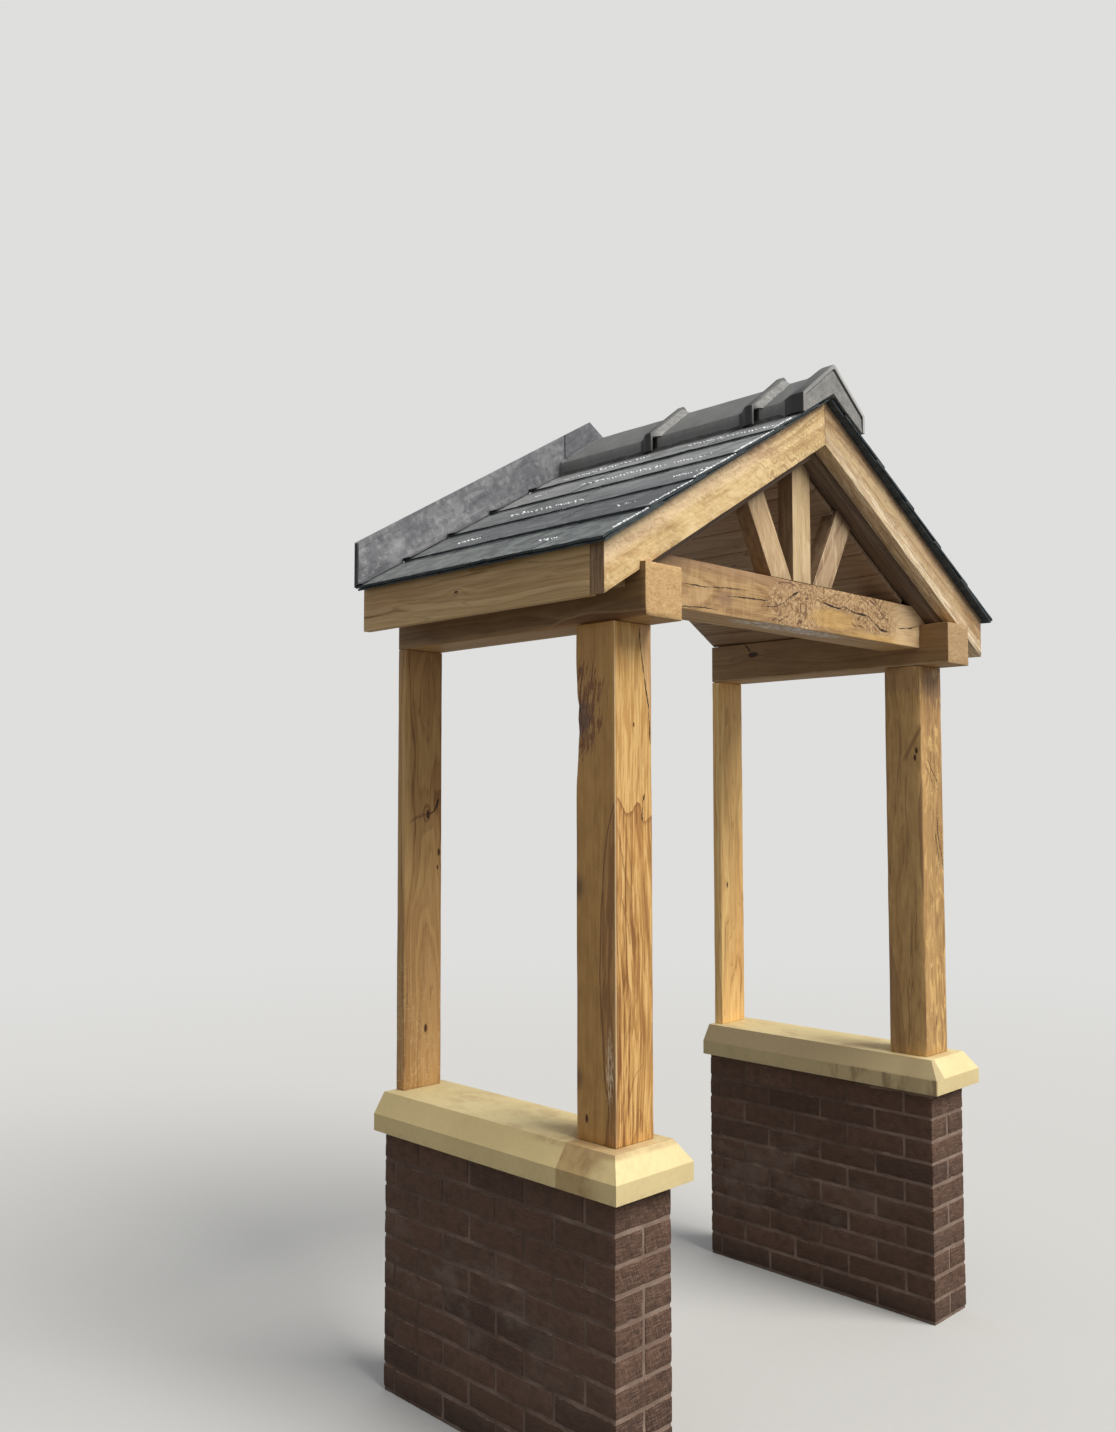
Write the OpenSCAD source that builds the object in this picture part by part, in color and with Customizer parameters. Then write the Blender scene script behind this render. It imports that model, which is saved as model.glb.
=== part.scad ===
// Gabled oak porch canopy on two brick dwarf walls with cast stone copings,
// slate covered and leaded against the plane it stands at.
// Millimetres, +Z up, front toward -Y, back plane at +Y.

/* [Brick walls] */
// outer face of each wall from the centre line
wall_out = 896; // [860:1:930]
// wall thickness, one brick
wall_th = 215; // [190:0.5:330]
// wall length out from the back plane
wall_len = 945; // [915:1:1035]
// wall height with its top mortar bed
wall_h = 770; // [400:1:1200]

/* [Copings] */
// coping overhang past the wall on both sides and the front
cope_over = 42; // [20:1:80]
// upright edge of the coping
cope_edge = 50; // [30:1:80]
// rise of the coping chamfer
cope_rise = 58; // [20:1:90]
// inset of the coping chamfer
cope_inset = 38; // [10:1:60]

/* [Posts] */
// post and plate outer face from the centre line
frame_out = 857; // [830:1:880]
// post and plate width across the porch
frame_w = 145; // [100:1:180]
// front post depth
post_d = 140; // [100:1:200]
// front face of the front posts out from the back plane
post_front = 914; // [860:1:945]
// depth of the half posts at the back plane
half_d = 38; // [20:1:100]
// top of the posts above the ground
post_top = 2226; // [2180:1:2270]

/* [Plates and tie beam] */
// plate depth
plate_h = 142; // [110:1:170]
// plate front end out from the back plane
plate_len = 1022; // [930:1:1032]
// tie beam depth
tie_h = 143; // [110:1:170]
// underside of the tie beam above the ground
tie_z = 2285; // [2250:1:2315]
// underside of the tie beam where it laps over the plates
lap_z = 2322; // [2290:1:2360]

/* [Gable truss] */
// king post width
king_w = 96; // [60:1:110]
// king post and strut depth
king_d = 55; // [30:1:100]
// inner corner of a strut foot from the centre line
strut_in = 56.5; // [50:0.5:120]
// outer corner of a strut foot from the centre line
strut_out = 162; // [130:0.5:220]
// lean of the struts from upright, degrees
strut_lean = 29.2; // [15:0.1:40]

/* [Roof] */
// roof pitch, degrees
pitch = 30; // [28:0.5:33]
// apex height of the ceiling underside
ceil_z = 2788; // [2740:1:2800]
// apex height of the roof boarding top
deck_z = 2978; // [2960:1:3005]
// roof and ceiling board thickness
board_th = 18; // [12:1:25]
// rafter width
rafter_w = 50; // [38:1:75]
// front rafter width
front_rafter_w = 55; // [40:1:90]
// ridge board thickness
ridge_board_w = 30; // [20:1:50]
// level cut of the rafter feet above the ground
foot_z = 2325; // [2300:1:2340]
// back face of the fascia from the centre line
fascia_in = 966; // [930:1:975]
// outer face of the fascia and bargeboard ends
fascia_out = 991; // [980:1:1015]
// underside of the fascia above the ground
fascia_z = 2271; // [2240:1:2310]
// back face of the bargeboards out from the back plane
barge_back = 954; // [930:1:985]
// front face of the bargeboards out from the back plane
barge_front = 1004; // [970:1:1020]
// apex height of the bargeboard lower edge
barge_z = 2841; // [2790:1:2900]

/* [Slates] */
// front verge of the slates out from the back plane
slate_front = 1032; // [1010:1:1039]
// exposed length of each course along the slope
slate_gauge = 209; // [150:1:250]
// tail of the lowest course measured down the slope from the apex
slate_eaves = 1176; // [1140:1:1180]
// height of the covering at each tail
slate_tail = 19; // [14:0.5:30]
// height of the covering just below the next tail
slate_head = 12.5; // [6:0.5:17]

/* [Ridge] */
// apex height of the ridge tiles
ridge_z = 3064; // [3050:1:3090]
// half width of the ridge tiles
ridge_half = 152; // [130:1:180]
// top of the ridge tile upright edge
ridge_edge_z = 2951; // [2940:1:2975]
// ridge tile thickness
ridge_th = 12; // [8:1:20]
// front end of the ridge out from the back plane
ridge_front = 1040; // [1033:1:1060]
// joint between the rear and middle ridge tiles
ridge_joint_1 = 431; // [300:1:600]
// joint between the middle and front ridge tiles
ridge_joint_2 = 832; // [700:1:930]
// raised height of the ridge unions above the tiles
union_rise = 22; // [8:1:40]
// width of a ridge union
union_w = 66; // [40:1:90]

/* [Lead flashing] */
// apex height of the flashing top edge
lead_z = 3132; // [3110:1:3180]
// lead thickness
lead_th = 4; // [2:0.5:10]
// outer end of the side flashings from the centre line
lead_out = 1026; // [960:1:1035]
// lap of the ridge flashing over the side flashings from the centre line
lead_lap = 126; // [60:1:128]
// apron of the ridge flashing over the ridge tile
lead_apron = 58; // [20:1:150]

/* [Hidden] */
wall_y = ridge_front / 2;
slate_courses = floor(slate_eaves / slate_gauge) + 1;
t = tan(pitch);
board_z = board_th / cos(pitch);
cope_z = wall_h;
cope_top = wall_h + cope_edge + cope_rise;
wall_in = wall_out - wall_th;
frame_in = frame_out - frame_w;
plate_top = post_top + plate_h;
tie_top = tie_z + tie_h;
tie_back = post_front - post_d;
rafter_z = ceil_z + board_z;
rafter_top = deck_z - board_z;
big = 3000;

// box on the right-hand side: x0..x1 from the centre line, d0..d1 out from the back plane
module rbox(x0, x1, d0, d1, z0, z1) {
    translate([x0, wall_y - d1, z0]) cube([x1 - x0, d1 - d0, z1 - z0]);
}

// upright section in X and Z, run from d0 to d1 out from the back plane
module run(pts, d0, d1) {
    translate([0, wall_y - d0, 0]) rotate([90, 0, 0])
        linear_extrude(height = d1 - d0) polygon(pts);
}

module side(left) {
    if (left) mirror([1, 0, 0]) children();
    else children();
}

// height of a line parallel to the roof through apex height a, at x
function zs(a, x) = a - t * x;

// point of the roof covering: s down the slope from the apex, n above the boarding
function sp(s, n) = [s * cos(pitch) + n * sin(pitch), deck_z - s * sin(pitch) + n * cos(pitch)];
function tail(i) = slate_eaves - i * slate_gauge;

// top line of the slates from the eaves up, stepped at every tail
function slate_line() = [
    for (i = [0 : slate_courses - 1], k = [0, 1])
        k == 0 ? sp(tail(i), slate_tail)
               : sp(max(tail(i + 1), -40), slate_head)
];

module slate_section() {
    intersection() {
        polygon(concat([sp(-40, 0), sp(slate_eaves, 0)], slate_line()));
        translate([0, 0]) square([big, 2 * big]);
    }
}

// outer section of the ridge tiles grown by r
module ridge_outer(r) {
    k = (ridge_z - ridge_edge_z) / ridge_half;
    q = r * sqrt(1 + k * k);
    polygon([
        [0, ridge_z + q],
        [ridge_half + r, ridge_z + q - k * (ridge_half + r)],
        [ridge_half + r, ridge_edge_z - 75],
        [-ridge_half - r, ridge_edge_z - 75],
        [-ridge_half - r, ridge_z + q - k * (ridge_half + r)]
    ]);
}

// everything under the slate surface on both slopes
module under_slates() {
    for (m = [0, 1]) mirror([m, 0, 0])
        intersection() {
            polygon(concat([[-1, 0], [sp(slate_eaves, slate_tail)[0], 0]],
                slate_line(), [[-1, zs(deck_z, 0) + 10]]));
            translate([-0.01, 0]) square([big, 2 * big]);
        }
}

module ridge_shell(d0, d1) {
    translate([0, wall_y - d0, 0]) rotate([90, 0, 0])
        linear_extrude(height = d1 - d0) difference() {
            ridge_outer(0);
            ridge_outer(-ridge_th);
            under_slates();
        }
}

module ridge_band(d0, d1, rise) {
    translate([0, wall_y - d0, 0]) rotate([90, 0, 0])
        linear_extrude(height = d1 - d0) difference() {
            ridge_outer(rise);
            ridge_outer(0);
            under_slates();
        }
}

module dwarf_wall(left) {
    color("#5b3a34") side(left) rbox(wall_in, wall_out, 0, wall_len, 0, wall_h);
}

module coping(left) {
    x0 = wall_in - cope_over;
    x1 = wall_out + cope_over;
    f = wall_len + cope_over;
    ze = cope_z + cope_edge;
    color("#d8c593") side(left) intersection() {
        run([[x0, cope_z], [x1, cope_z], [x1, ze], [x1 - cope_inset, cope_top],
            [x0 + cope_inset, cope_top], [x0, ze]], 0, f);
        translate([x0 - 10, wall_y, 0]) rotate([90, 0, 90])
            linear_extrude(height = x1 - x0 + 20)
                polygon([[0, cope_z], [-f, cope_z], [-f, ze], [-f + cope_inset, cope_top], [0, cope_top]]);
    }
}

module post(left, d0, d1) {
    color("#b5803c") side(left) rbox(frame_in, frame_out, d0, d1, cope_top, post_top);
}

module wall_plate(left) {
    color("#a9763a") side(left) difference() {
        rbox(frame_in, frame_out, 0, plate_len, post_top, plate_top);
        rbox(frame_in - 1, frame_out + 1, tie_back, post_front, lap_z, plate_top + 1);
    }
}

module front_tie_beam() {
    color("#b98643") difference() {
        rbox(-frame_out, frame_out, tie_back, post_front, tie_z, tie_top);
        for (m = [0, 1]) mirror([m, 0, 0])
            rbox(frame_in, frame_out + 1, tie_back - 1, post_front + 1, tie_z - 1, lap_z);
    }
}

// the space taken by the ceiling boards behind the front rafters
module ceiling_room() {
    for (m = [0, 1]) mirror([m, 0, 0])
        run([[0, ceil_z], [frame_in, zs(ceil_z, frame_in)], [frame_in, zs(rafter_z + 1, frame_in)],
            [0, rafter_z + 1]], -1, barge_back - front_rafter_w);
}

module king_post() {
    h = king_w / 2;
    color("#c6954f") difference() {
        run([[-h, tie_top], [h, tie_top], [h, zs(rafter_z, h)], [0, rafter_z],
            [-h, zs(rafter_z, h)]], post_front - king_d, post_front);
        ceiling_room();
    }
}

// where a line leaning from (x, tie_top) meets the underside of the front rafters
function strut_z(x) = (rafter_z - t * x + t * tan(strut_lean) * tie_top) / (1 + t * tan(strut_lean));
function strut_x(x) = x + tan(strut_lean) * (strut_z(x) - tie_top);

module strut(left) {
    color("#c08f4b") side(left) difference() {
        run([[strut_in, tie_top], [strut_out, tie_top],
            [strut_x(strut_out), strut_z(strut_out)], [strut_x(strut_in), strut_z(strut_in)]],
            post_front - king_d, post_front);
        ceiling_room();
    }
}

module front_rafter(left) {
    color("#9a6a35") side(left) difference() {
        run([[0, rafter_z], [(rafter_z - plate_top) / t, plate_top], [frame_out, plate_top],
            [frame_out, foot_z], [fascia_in, foot_z], [fascia_in, zs(rafter_top, fascia_in)],
            [0, rafter_top]], barge_back - front_rafter_w, barge_back);
        rbox(0, frame_out, tie_back, post_front, tie_z, tie_top);
    }
}

module rafter(left, d0, d1) {
    x0 = ridge_board_w / 2;
    color("#8f6231") side(left)
        run([[x0, zs(rafter_z, x0)], [(rafter_z - plate_top) / t, plate_top], [frame_out, plate_top],
            [frame_out, foot_z], [fascia_in, foot_z], [fascia_in, zs(rafter_top, fascia_in)],
            [x0, zs(rafter_top, x0)]], d0, d1);
}

module ridge_board() {
    x = ridge_board_w / 2;
    color("#8f6231") rbox(-x, x, 0, barge_back - front_rafter_w, rafter_z + 6, zs(rafter_top, x));
}

module ceiling_boards(left) {
    color("#8a5d30") side(left) difference() {
        run([[0, ceil_z], [(ceil_z - plate_top) / t, plate_top], [(rafter_z - plate_top) / t, plate_top],
            [0, rafter_z]], 0, barge_back - front_rafter_w);
        rbox(0, frame_out, tie_back, post_front, tie_z, tie_top);
    }
}

module roof_boards(left) {
    color("#8a5d30") side(left)
        run([[0, rafter_top], [fascia_in, zs(rafter_top, fascia_in)],
            [fascia_in, zs(deck_z, fascia_in)], [0, deck_z]], 0, barge_back);
}

module eaves_board(left) {
    color("#8a5d30") side(left)
        rbox(frame_out, fascia_in, 0, barge_back, foot_z - board_th, foot_z);
}

module fascia(left) {
    color("#b1803f") side(left)
        run([[fascia_in, fascia_z], [fascia_out, fascia_z], [fascia_out, zs(deck_z, fascia_out)],
            [fascia_in, zs(deck_z, fascia_in)]], 0, barge_back);
}

module bargeboard(left) {
    color("#c8984f") side(left) difference() {
        run([[0, barge_z], [fascia_out, zs(barge_z, fascia_out)],
            [fascia_out, zs(deck_z, fascia_out)], [0, deck_z]], barge_back, barge_front);
        rbox(frame_in, frame_out, 0, plate_len, post_top, plate_top);
    }
}

module slates(left) {
    color("#3d4448") side(left) translate([0, wall_y, 0]) rotate([90, 0, 0])
        linear_extrude(height = slate_front) slate_section();
}

module ridge_end_cap() {
    color("#4a4d50") {
        ridge_band(ridge_front - union_w, ridge_front, union_rise - 4);
        translate([0, wall_y - slate_front, 0]) rotate([90, 0, 0])
            linear_extrude(height = ridge_front - slate_front) difference() {
                ridge_outer(0.01);
                under_slates();
            }
    }
}

// lead upstand between x0 and x1, down to the slates and the ridge tiles
module upstand(x0, x1) {
    translate([0, wall_y, 0]) rotate([90, 0, 0])
        linear_extrude(height = lead_th) difference() {
            polygon([[x0, zs(deck_z, x0)], [x1, zs(deck_z, x1)], [x1, zs(lead_z, x1)], [x0, zs(lead_z, x0)]]);
            under_slates();
            ridge_outer(0);
        }
}

module flashing(left) {
    color("#6d7074") side(left) upstand(lead_lap, lead_out);
}

module ridge_flashing() {
    color("#75787c") {
        for (m = [0, 1]) mirror([m, 0, 0]) upstand(0, lead_lap);
        translate([0, wall_y - lead_th + 0.01, 0]) rotate([90, 0, 0])
            linear_extrude(height = lead_apron - lead_th) intersection() {
                difference() {
                    ridge_outer(3);
                    ridge_outer(0);
                }
                translate([-lead_lap, 0]) square([2 * lead_lap, 2 * big]);
            }
    }
}

dwarf_wall(true);  // left_dwarf_wall
dwarf_wall(false);  // right_dwarf_wall
coping(true);  // left_coping
coping(false);  // right_coping
post(true, tie_back, post_front);  // front_left_post
post(false, tie_back, post_front);  // front_right_post
post(true, 0, half_d);  // rear_left_post
post(false, 0, half_d);  // rear_right_post
wall_plate(true);  // left_wall_plate
wall_plate(false);  // right_wall_plate
front_tie_beam();
king_post();
strut(true);  // left_strut
strut(false);  // right_strut
front_rafter(true);  // front_left_rafter
front_rafter(false);  // front_right_rafter
rafter(true, 450, 450 + rafter_w);  // middle_left_rafter
rafter(false, 450, 450 + rafter_w);  // middle_right_rafter
rafter(true, 0, rafter_w);  // rear_left_rafter
rafter(false, 0, rafter_w);  // rear_right_rafter
ridge_board();
ceiling_boards(true);  // left_ceiling_boards
ceiling_boards(false);  // right_ceiling_boards
roof_boards(true);  // left_roof_boards
roof_boards(false);  // right_roof_boards
eaves_board(true);  // left_eaves_board
eaves_board(false);  // right_eaves_board
fascia(true);  // left_fascia
fascia(false);  // right_fascia
bargeboard(true);  // left_bargeboard
bargeboard(false);  // right_bargeboard
slates(true);  // left_slates
slates(false);  // right_slates
color("#4a4d50") ridge_shell(0, ridge_joint_1);  // rear_ridge_tile
color("#4a4d50") ridge_shell(ridge_joint_1, ridge_joint_2);  // middle_ridge_tile
color("#4a4d50") ridge_shell(ridge_joint_2, slate_front);  // front_ridge_tile
color("#56595c")  // rear_ridge_union
    ridge_band(ridge_joint_1 - union_w / 2, ridge_joint_1 + union_w / 2, union_rise);
color("#56595c")  // middle_ridge_union
    ridge_band(ridge_joint_2 - union_w / 2, ridge_joint_2 + union_w / 2, union_rise);
ridge_end_cap();
flashing(true);  // left_flashing
flashing(false);  // right_flashing
ridge_flashing();
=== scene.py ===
import math

import bmesh
import bpy
import numpy as np
from mathutils import Euler, Matrix, Vector
from mathutils import noise as mn


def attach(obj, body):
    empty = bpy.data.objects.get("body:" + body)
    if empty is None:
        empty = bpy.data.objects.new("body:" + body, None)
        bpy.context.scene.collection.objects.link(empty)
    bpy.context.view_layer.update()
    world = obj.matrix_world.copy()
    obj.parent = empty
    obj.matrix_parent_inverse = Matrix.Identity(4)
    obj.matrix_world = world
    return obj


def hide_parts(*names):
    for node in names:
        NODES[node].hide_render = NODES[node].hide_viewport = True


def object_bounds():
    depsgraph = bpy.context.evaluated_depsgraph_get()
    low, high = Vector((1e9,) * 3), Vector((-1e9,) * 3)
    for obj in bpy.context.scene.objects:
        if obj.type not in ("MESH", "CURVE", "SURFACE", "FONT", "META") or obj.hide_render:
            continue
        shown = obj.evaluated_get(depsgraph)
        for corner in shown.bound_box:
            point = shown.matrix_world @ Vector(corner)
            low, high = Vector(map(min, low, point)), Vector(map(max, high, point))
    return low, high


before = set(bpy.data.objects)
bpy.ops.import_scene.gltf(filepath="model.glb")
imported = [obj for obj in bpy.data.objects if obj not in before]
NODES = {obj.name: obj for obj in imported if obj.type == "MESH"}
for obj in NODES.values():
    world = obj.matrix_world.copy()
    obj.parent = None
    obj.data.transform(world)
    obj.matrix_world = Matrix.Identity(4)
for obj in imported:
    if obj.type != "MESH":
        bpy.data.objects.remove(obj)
CAD_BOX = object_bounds()

# ---------------------------------------------------------------- shared sizes, metres, as in the CAD source
BACK = 0.52  # y of the back plane
C30, S30, T30 = math.cos(math.radians(30)), math.sin(math.radians(30)), math.tan(math.radians(30))
CEIL, DECK = 2.788, 2.978
SLATE_FRONT, SLATE_EAVES, SLATE_GAUGE = 1.032, 1.176, 0.209
SLATE_TAIL, SLATE_HEAD = 0.019, 0.0125
RIDGE_Z, RIDGE_HALF, RIDGE_EDGE = 3.064, 0.152, 2.951
LEAD_Z, LEAD_OUT, LEAD_LAP = 3.132, 1.026, 0.126


def out(d):
    """y of a point d out from the back plane"""
    return BACK - d


def sp(s, n, side=1):
    """point of the roof covering: s down the slope from the apex, n above the boarding"""
    return side * (s * C30 + n * S30), DECK - s * S30 + n * C30


R = math.radians


# ---------------------------------------------------------------- camera and light
def camera():
    cam = bpy.data.cameras.new("camera")
    obj = bpy.data.objects.new("camera", cam)
    bpy.context.scene.collection.objects.link(obj)
    cam.sensor_fit = "AUTO"
    cam.sensor_width = 36.0
    cam.lens = 1229.8 / 1432 * 36.0
    cam.shift_x = 3.2 / 1432
    cam.shift_y = 11.5 / 1432
    cam.clip_start = 0.05
    cam.clip_end = 200
    r = math.radians
    obj.matrix_world = Matrix.Translation((-3.1877, -2.5398, 1.7658)) @ (
        Matrix.Rotation(r(-44.57), 4, "Z") @ Matrix.Rotation(r(90 + 3.2755), 4, "X") @ Matrix.Rotation(r(-0.062), 4, "Z"))
    bpy.context.scene.camera = obj


def studio():
    """An even pale backdrop, dimmer as a light than it looks, and one broad key from the front, high and a little right."""
    world = bpy.data.worlds.new("studio")
    bpy.context.scene.world = world
    world.use_nodes = True
    nt = world.node_tree
    nt.nodes.clear()
    seen, lit = nt.nodes.new("ShaderNodeBackground"), nt.nodes.new("ShaderNodeBackground")
    seen.inputs["Color"].default_value, seen.inputs["Strength"].default_value = (0.80, 0.80, 0.79, 1), 0.92
    lit.inputs["Color"].default_value, lit.inputs["Strength"].default_value = (0.95, 0.97, 1.0, 1), 0.42
    mix, end, path = nt.nodes.new("ShaderNodeMixShader"), nt.nodes.new("ShaderNodeOutputWorld"), nt.nodes.new("ShaderNodeLightPath")
    nt.links.new(path.outputs["Is Camera Ray"], mix.inputs[0])
    nt.links.new(lit.outputs[0], mix.inputs[1])
    nt.links.new(seen.outputs[0], mix.inputs[2])
    nt.links.new(mix.outputs[0], end.inputs[0])
    sun = bpy.data.lights.new("key", "SUN")
    sun.energy, sun.angle, sun.color = 3.3, R(40), (1.0, 0.965, 0.90)
    obj = bpy.data.objects.new("key", sun)
    bpy.context.scene.collection.objects.link(obj)
    obj.rotation_euler = Vector((-0.14, 0.67, -0.73)).to_track_quat("-Z", "Y").to_euler()
    bpy.context.scene.view_settings.view_transform = "Standard"
    bpy.context.scene.view_settings.exposure = 0.0


# ---------------------------------------------------------------- node graphs
class Graph:
    def __init__(self, name):
        self.mat = bpy.data.materials.new(name)
        self.mat.use_nodes = True
        self.nt = self.mat.node_tree
        self.nt.nodes.clear()
        end = self.nt.nodes.new("ShaderNodeOutputMaterial")
        self.bsdf = self.nt.nodes.new("ShaderNodeBsdfPrincipled")
        self.nt.links.new(self.bsdf.outputs[0], end.inputs[0])
        self.split = {}
        self.P = self.nt.nodes.new("ShaderNodeTexCoord").outputs["Object"]

    def put(self, sock, v):
        if isinstance(v, bpy.types.NodeSocket):
            self.nt.links.new(v, sock)
        elif v is not None:
            if hasattr(sock.default_value, "__len__") and len(sock.default_value) == 4 and len(v) == 3:
                v = (*v, 1)
            sock.default_value = v

    def m(self, op, a, b=None, c=None, clamp=False):
        n = self.nt.nodes.new("ShaderNodeMath")
        n.operation, n.use_clamp = op, clamp
        for s, v in zip(n.inputs, (a, b, c)):
            self.put(s, v)
        return n.outputs[0]

    def v(self, op, a, b=None, scale=None):
        n = self.nt.nodes.new("ShaderNodeVectorMath")
        n.operation = op
        self.put(n.inputs[0], a)
        if b is not None:
            self.put(n.inputs[1], b)
        if scale is not None:
            self.put(n.inputs["Scale"], scale)
        return n.outputs["Value"] if op in ("DOT_PRODUCT", "LENGTH", "DISTANCE") else n.outputs["Vector"]

    def noise(self, vec, scale=1.0, detail=2.0, rough=0.5, distort=0.0, colour=False):
        n = self.nt.nodes.new("ShaderNodeTexNoise")
        self.put(n.inputs["Vector"], vec)
        n.inputs["Scale"].default_value = scale
        n.inputs["Detail"].default_value = detail
        n.inputs["Roughness"].default_value = rough
        n.inputs["Distortion"].default_value = distort
        return n.outputs[1] if colour else n.outputs[0]

    def noise1(self, w, detail=3.0, rough=0.6):
        n = self.nt.nodes.new("ShaderNodeTexNoise")
        n.noise_dimensions = "1D"
        self.put(n.inputs["W"], w)
        n.inputs["Scale"].default_value = 1.0
        n.inputs["Detail"].default_value = detail
        n.inputs["Roughness"].default_value = rough
        return n.outputs[0]

    def cells(self, vec, scale, feature="F1", rand=1.0):
        n = self.nt.nodes.new("ShaderNodeTexVoronoi")
        n.feature = feature
        self.put(n.inputs["Vector"], vec)
        n.inputs["Scale"].default_value = scale
        n.inputs["Randomness"].default_value = rand
        return n.outputs["Distance"]

    def white(self, x):
        n = self.nt.nodes.new("ShaderNodeTexWhiteNoise")
        n.noise_dimensions = "1D"
        self.put(n.inputs["W"], x)
        return n.outputs["Value"]

    def turn(self, vec, loc, rot):
        n = self.nt.nodes.new("ShaderNodeMapping")
        n.vector_type = "TEXTURE"
        self.put(n.inputs["Vector"], vec)
        n.inputs["Location"].default_value = loc
        n.inputs["Rotation"].default_value = rot
        return n.outputs[0]

    def span(self, x, a, b, lo=0.0, hi=1.0, smooth=True):
        n = self.nt.nodes.new("ShaderNodeMapRange")
        n.interpolation_type = "SMOOTHSTEP" if smooth else "LINEAR"
        n.clamp = True
        self.put(n.inputs["Value"], x)
        n.inputs["From Min"].default_value = a
        n.inputs["From Max"].default_value = b
        n.inputs["To Min"].default_value = lo
        n.inputs["To Max"].default_value = hi
        return n.outputs[0]

    def mix(self, f, a, b, mode="MIX"):
        n = self.nt.nodes.new("ShaderNodeMix")
        n.data_type = "RGBA"
        n.blend_type = mode
        n.clamp_factor = True
        self.put(n.inputs[0], f)
        self.put(n.inputs[6], a)
        self.put(n.inputs[7], b)
        return n.outputs[2]

    def ramp(self, f, stops):
        n = self.nt.nodes.new("ShaderNodeValToRGB")
        e = n.color_ramp.elements
        while len(e) < len(stops):
            e.new(0.5)
        for el, (pos, col) in zip(e, stops):
            el.position = pos
            el.color = (*col, 1)
        self.put(n.inputs[0], f)
        return n.outputs[0]

    def xyz(self, vec):
        key = (vec.node.name, vec.name)
        if key not in self.split:
            n = self.nt.nodes.new("ShaderNodeSeparateXYZ")
            self.put(n.inputs[0], vec)
            self.split[key] = (n.outputs[0], n.outputs[1], n.outputs[2])
        return self.split[key]

    def vec(self, x, y, z):
        n = self.nt.nodes.new("ShaderNodeCombineXYZ")
        for s, v in zip(n.inputs, (x, y, z)):
            self.put(s, v)
        return n.outputs[0]

    def attr(self, name):
        n = self.nt.nodes.new("ShaderNodeAttribute")
        n.attribute_name = name
        return n.outputs["Fac"]

    def bump(self, height, strength, distance, normal=None):
        n = self.nt.nodes.new("ShaderNodeBump")
        n.inputs["Strength"].default_value = strength
        n.inputs["Distance"].default_value = distance
        self.put(n.inputs["Height"], height)
        if normal is not None:
            self.put(n.inputs["Normal"], normal)
        return n.outputs[0]

    def finish(self, colour, rough, normal=None, metallic=None):
        self.put(self.bsdf.inputs["Base Color"], colour)
        self.put(self.bsdf.inputs["Roughness"], rough)
        if normal is not None:
            self.put(self.bsdf.inputs["Normal"], normal)
        if metallic is not None:
            self.bsdf.inputs["Metallic"].default_value = metallic
        return self.mat

    def normal(self):
        return self.xyz(self.nt.nodes.new("ShaderNodeTexCoord").outputs["Normal"])

    def curve(self, sock, pts):
        """b where sock is a, through the (a, b) points; also the share of the way along"""
        pts = sorted(pts)
        a0, a1 = pts[0][0], pts[-1][0]
        b0, b1 = min(q[1] for q in pts) - 0.001, max(q[1] for q in pts) + 0.001
        node = self.nt.nodes.new("ShaderNodeFloatCurve")
        c = node.mapping.curves[0]
        for i, q in enumerate(pts):
            x, y = (q[0] - a0) / (a1 - a0), (q[1] - b0) / (b1 - b0)
            if i == 0:
                c.points[0].location = (x, y)
            elif i == len(pts) - 1:
                c.points[-1].location = (x, y)
            else:
                c.points.new(x, y)
        node.mapping.update()
        u = self.span(sock, a0, a1, smooth=False)
        self.put(node.inputs["Value"], u)
        return self.m("MULTIPLY_ADD", node.outputs[0], b1 - b0, b0), u

    def line(self, p, pts, width, soft=0.45, vary=None):
        """1 on a drawn line over a face: points along it in order, width in metres"""
        ext = [max(q[i] for q in pts) - min(q[i] for q in pts) for i in range(3)]
        main, flat = ext.index(max(ext)), ext.index(min(ext))
        other = 3 - main - flat
        xyz = self.xyz(p)
        b, u = self.curve(xyz[main], [(q[main], q[other]) for q in pts])
        gap = self.m("ABSOLUTE", self.m("SUBTRACT", b, xyz[other]))
        ends = self.m("MULTIPLY", self.span(u, 0.0, 0.10), self.span(u, 1.0, 0.88))
        gap = self.m("DIVIDE", gap, self.m("MULTIPLY_ADD", ends, 0.7, 0.3))
        if vary is not None:
            gap = self.m("DIVIDE", gap, vary)
        ends = self.m("MULTIPLY", self.span(u, 0.0, 0.03), self.span(u, 1.0, 0.97))
        depth = self.span(self.m("ABSOLUTE", self.m("SUBTRACT", xyz[flat], pts[0][flat])), 0.016, 0.010)
        return self.m("MULTIPLY", self.m("MULTIPLY", self.span(gap, width * 1.25, width * soft), ends), depth)


UP = (0, 0, 0)
ALONG_X = (0, R(90), 0)
ALONG_Y = (R(-90), 0, 0)
SLOPE = {-1: (0, R(60), 0), 1: (0, R(120), 0)}


def tilt_in_xz(deg):
    """grain leaning deg from upright toward +X"""
    return (0, R(deg), 0)


OAK_CUT = (0.030, 0.016, 0.008)


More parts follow.
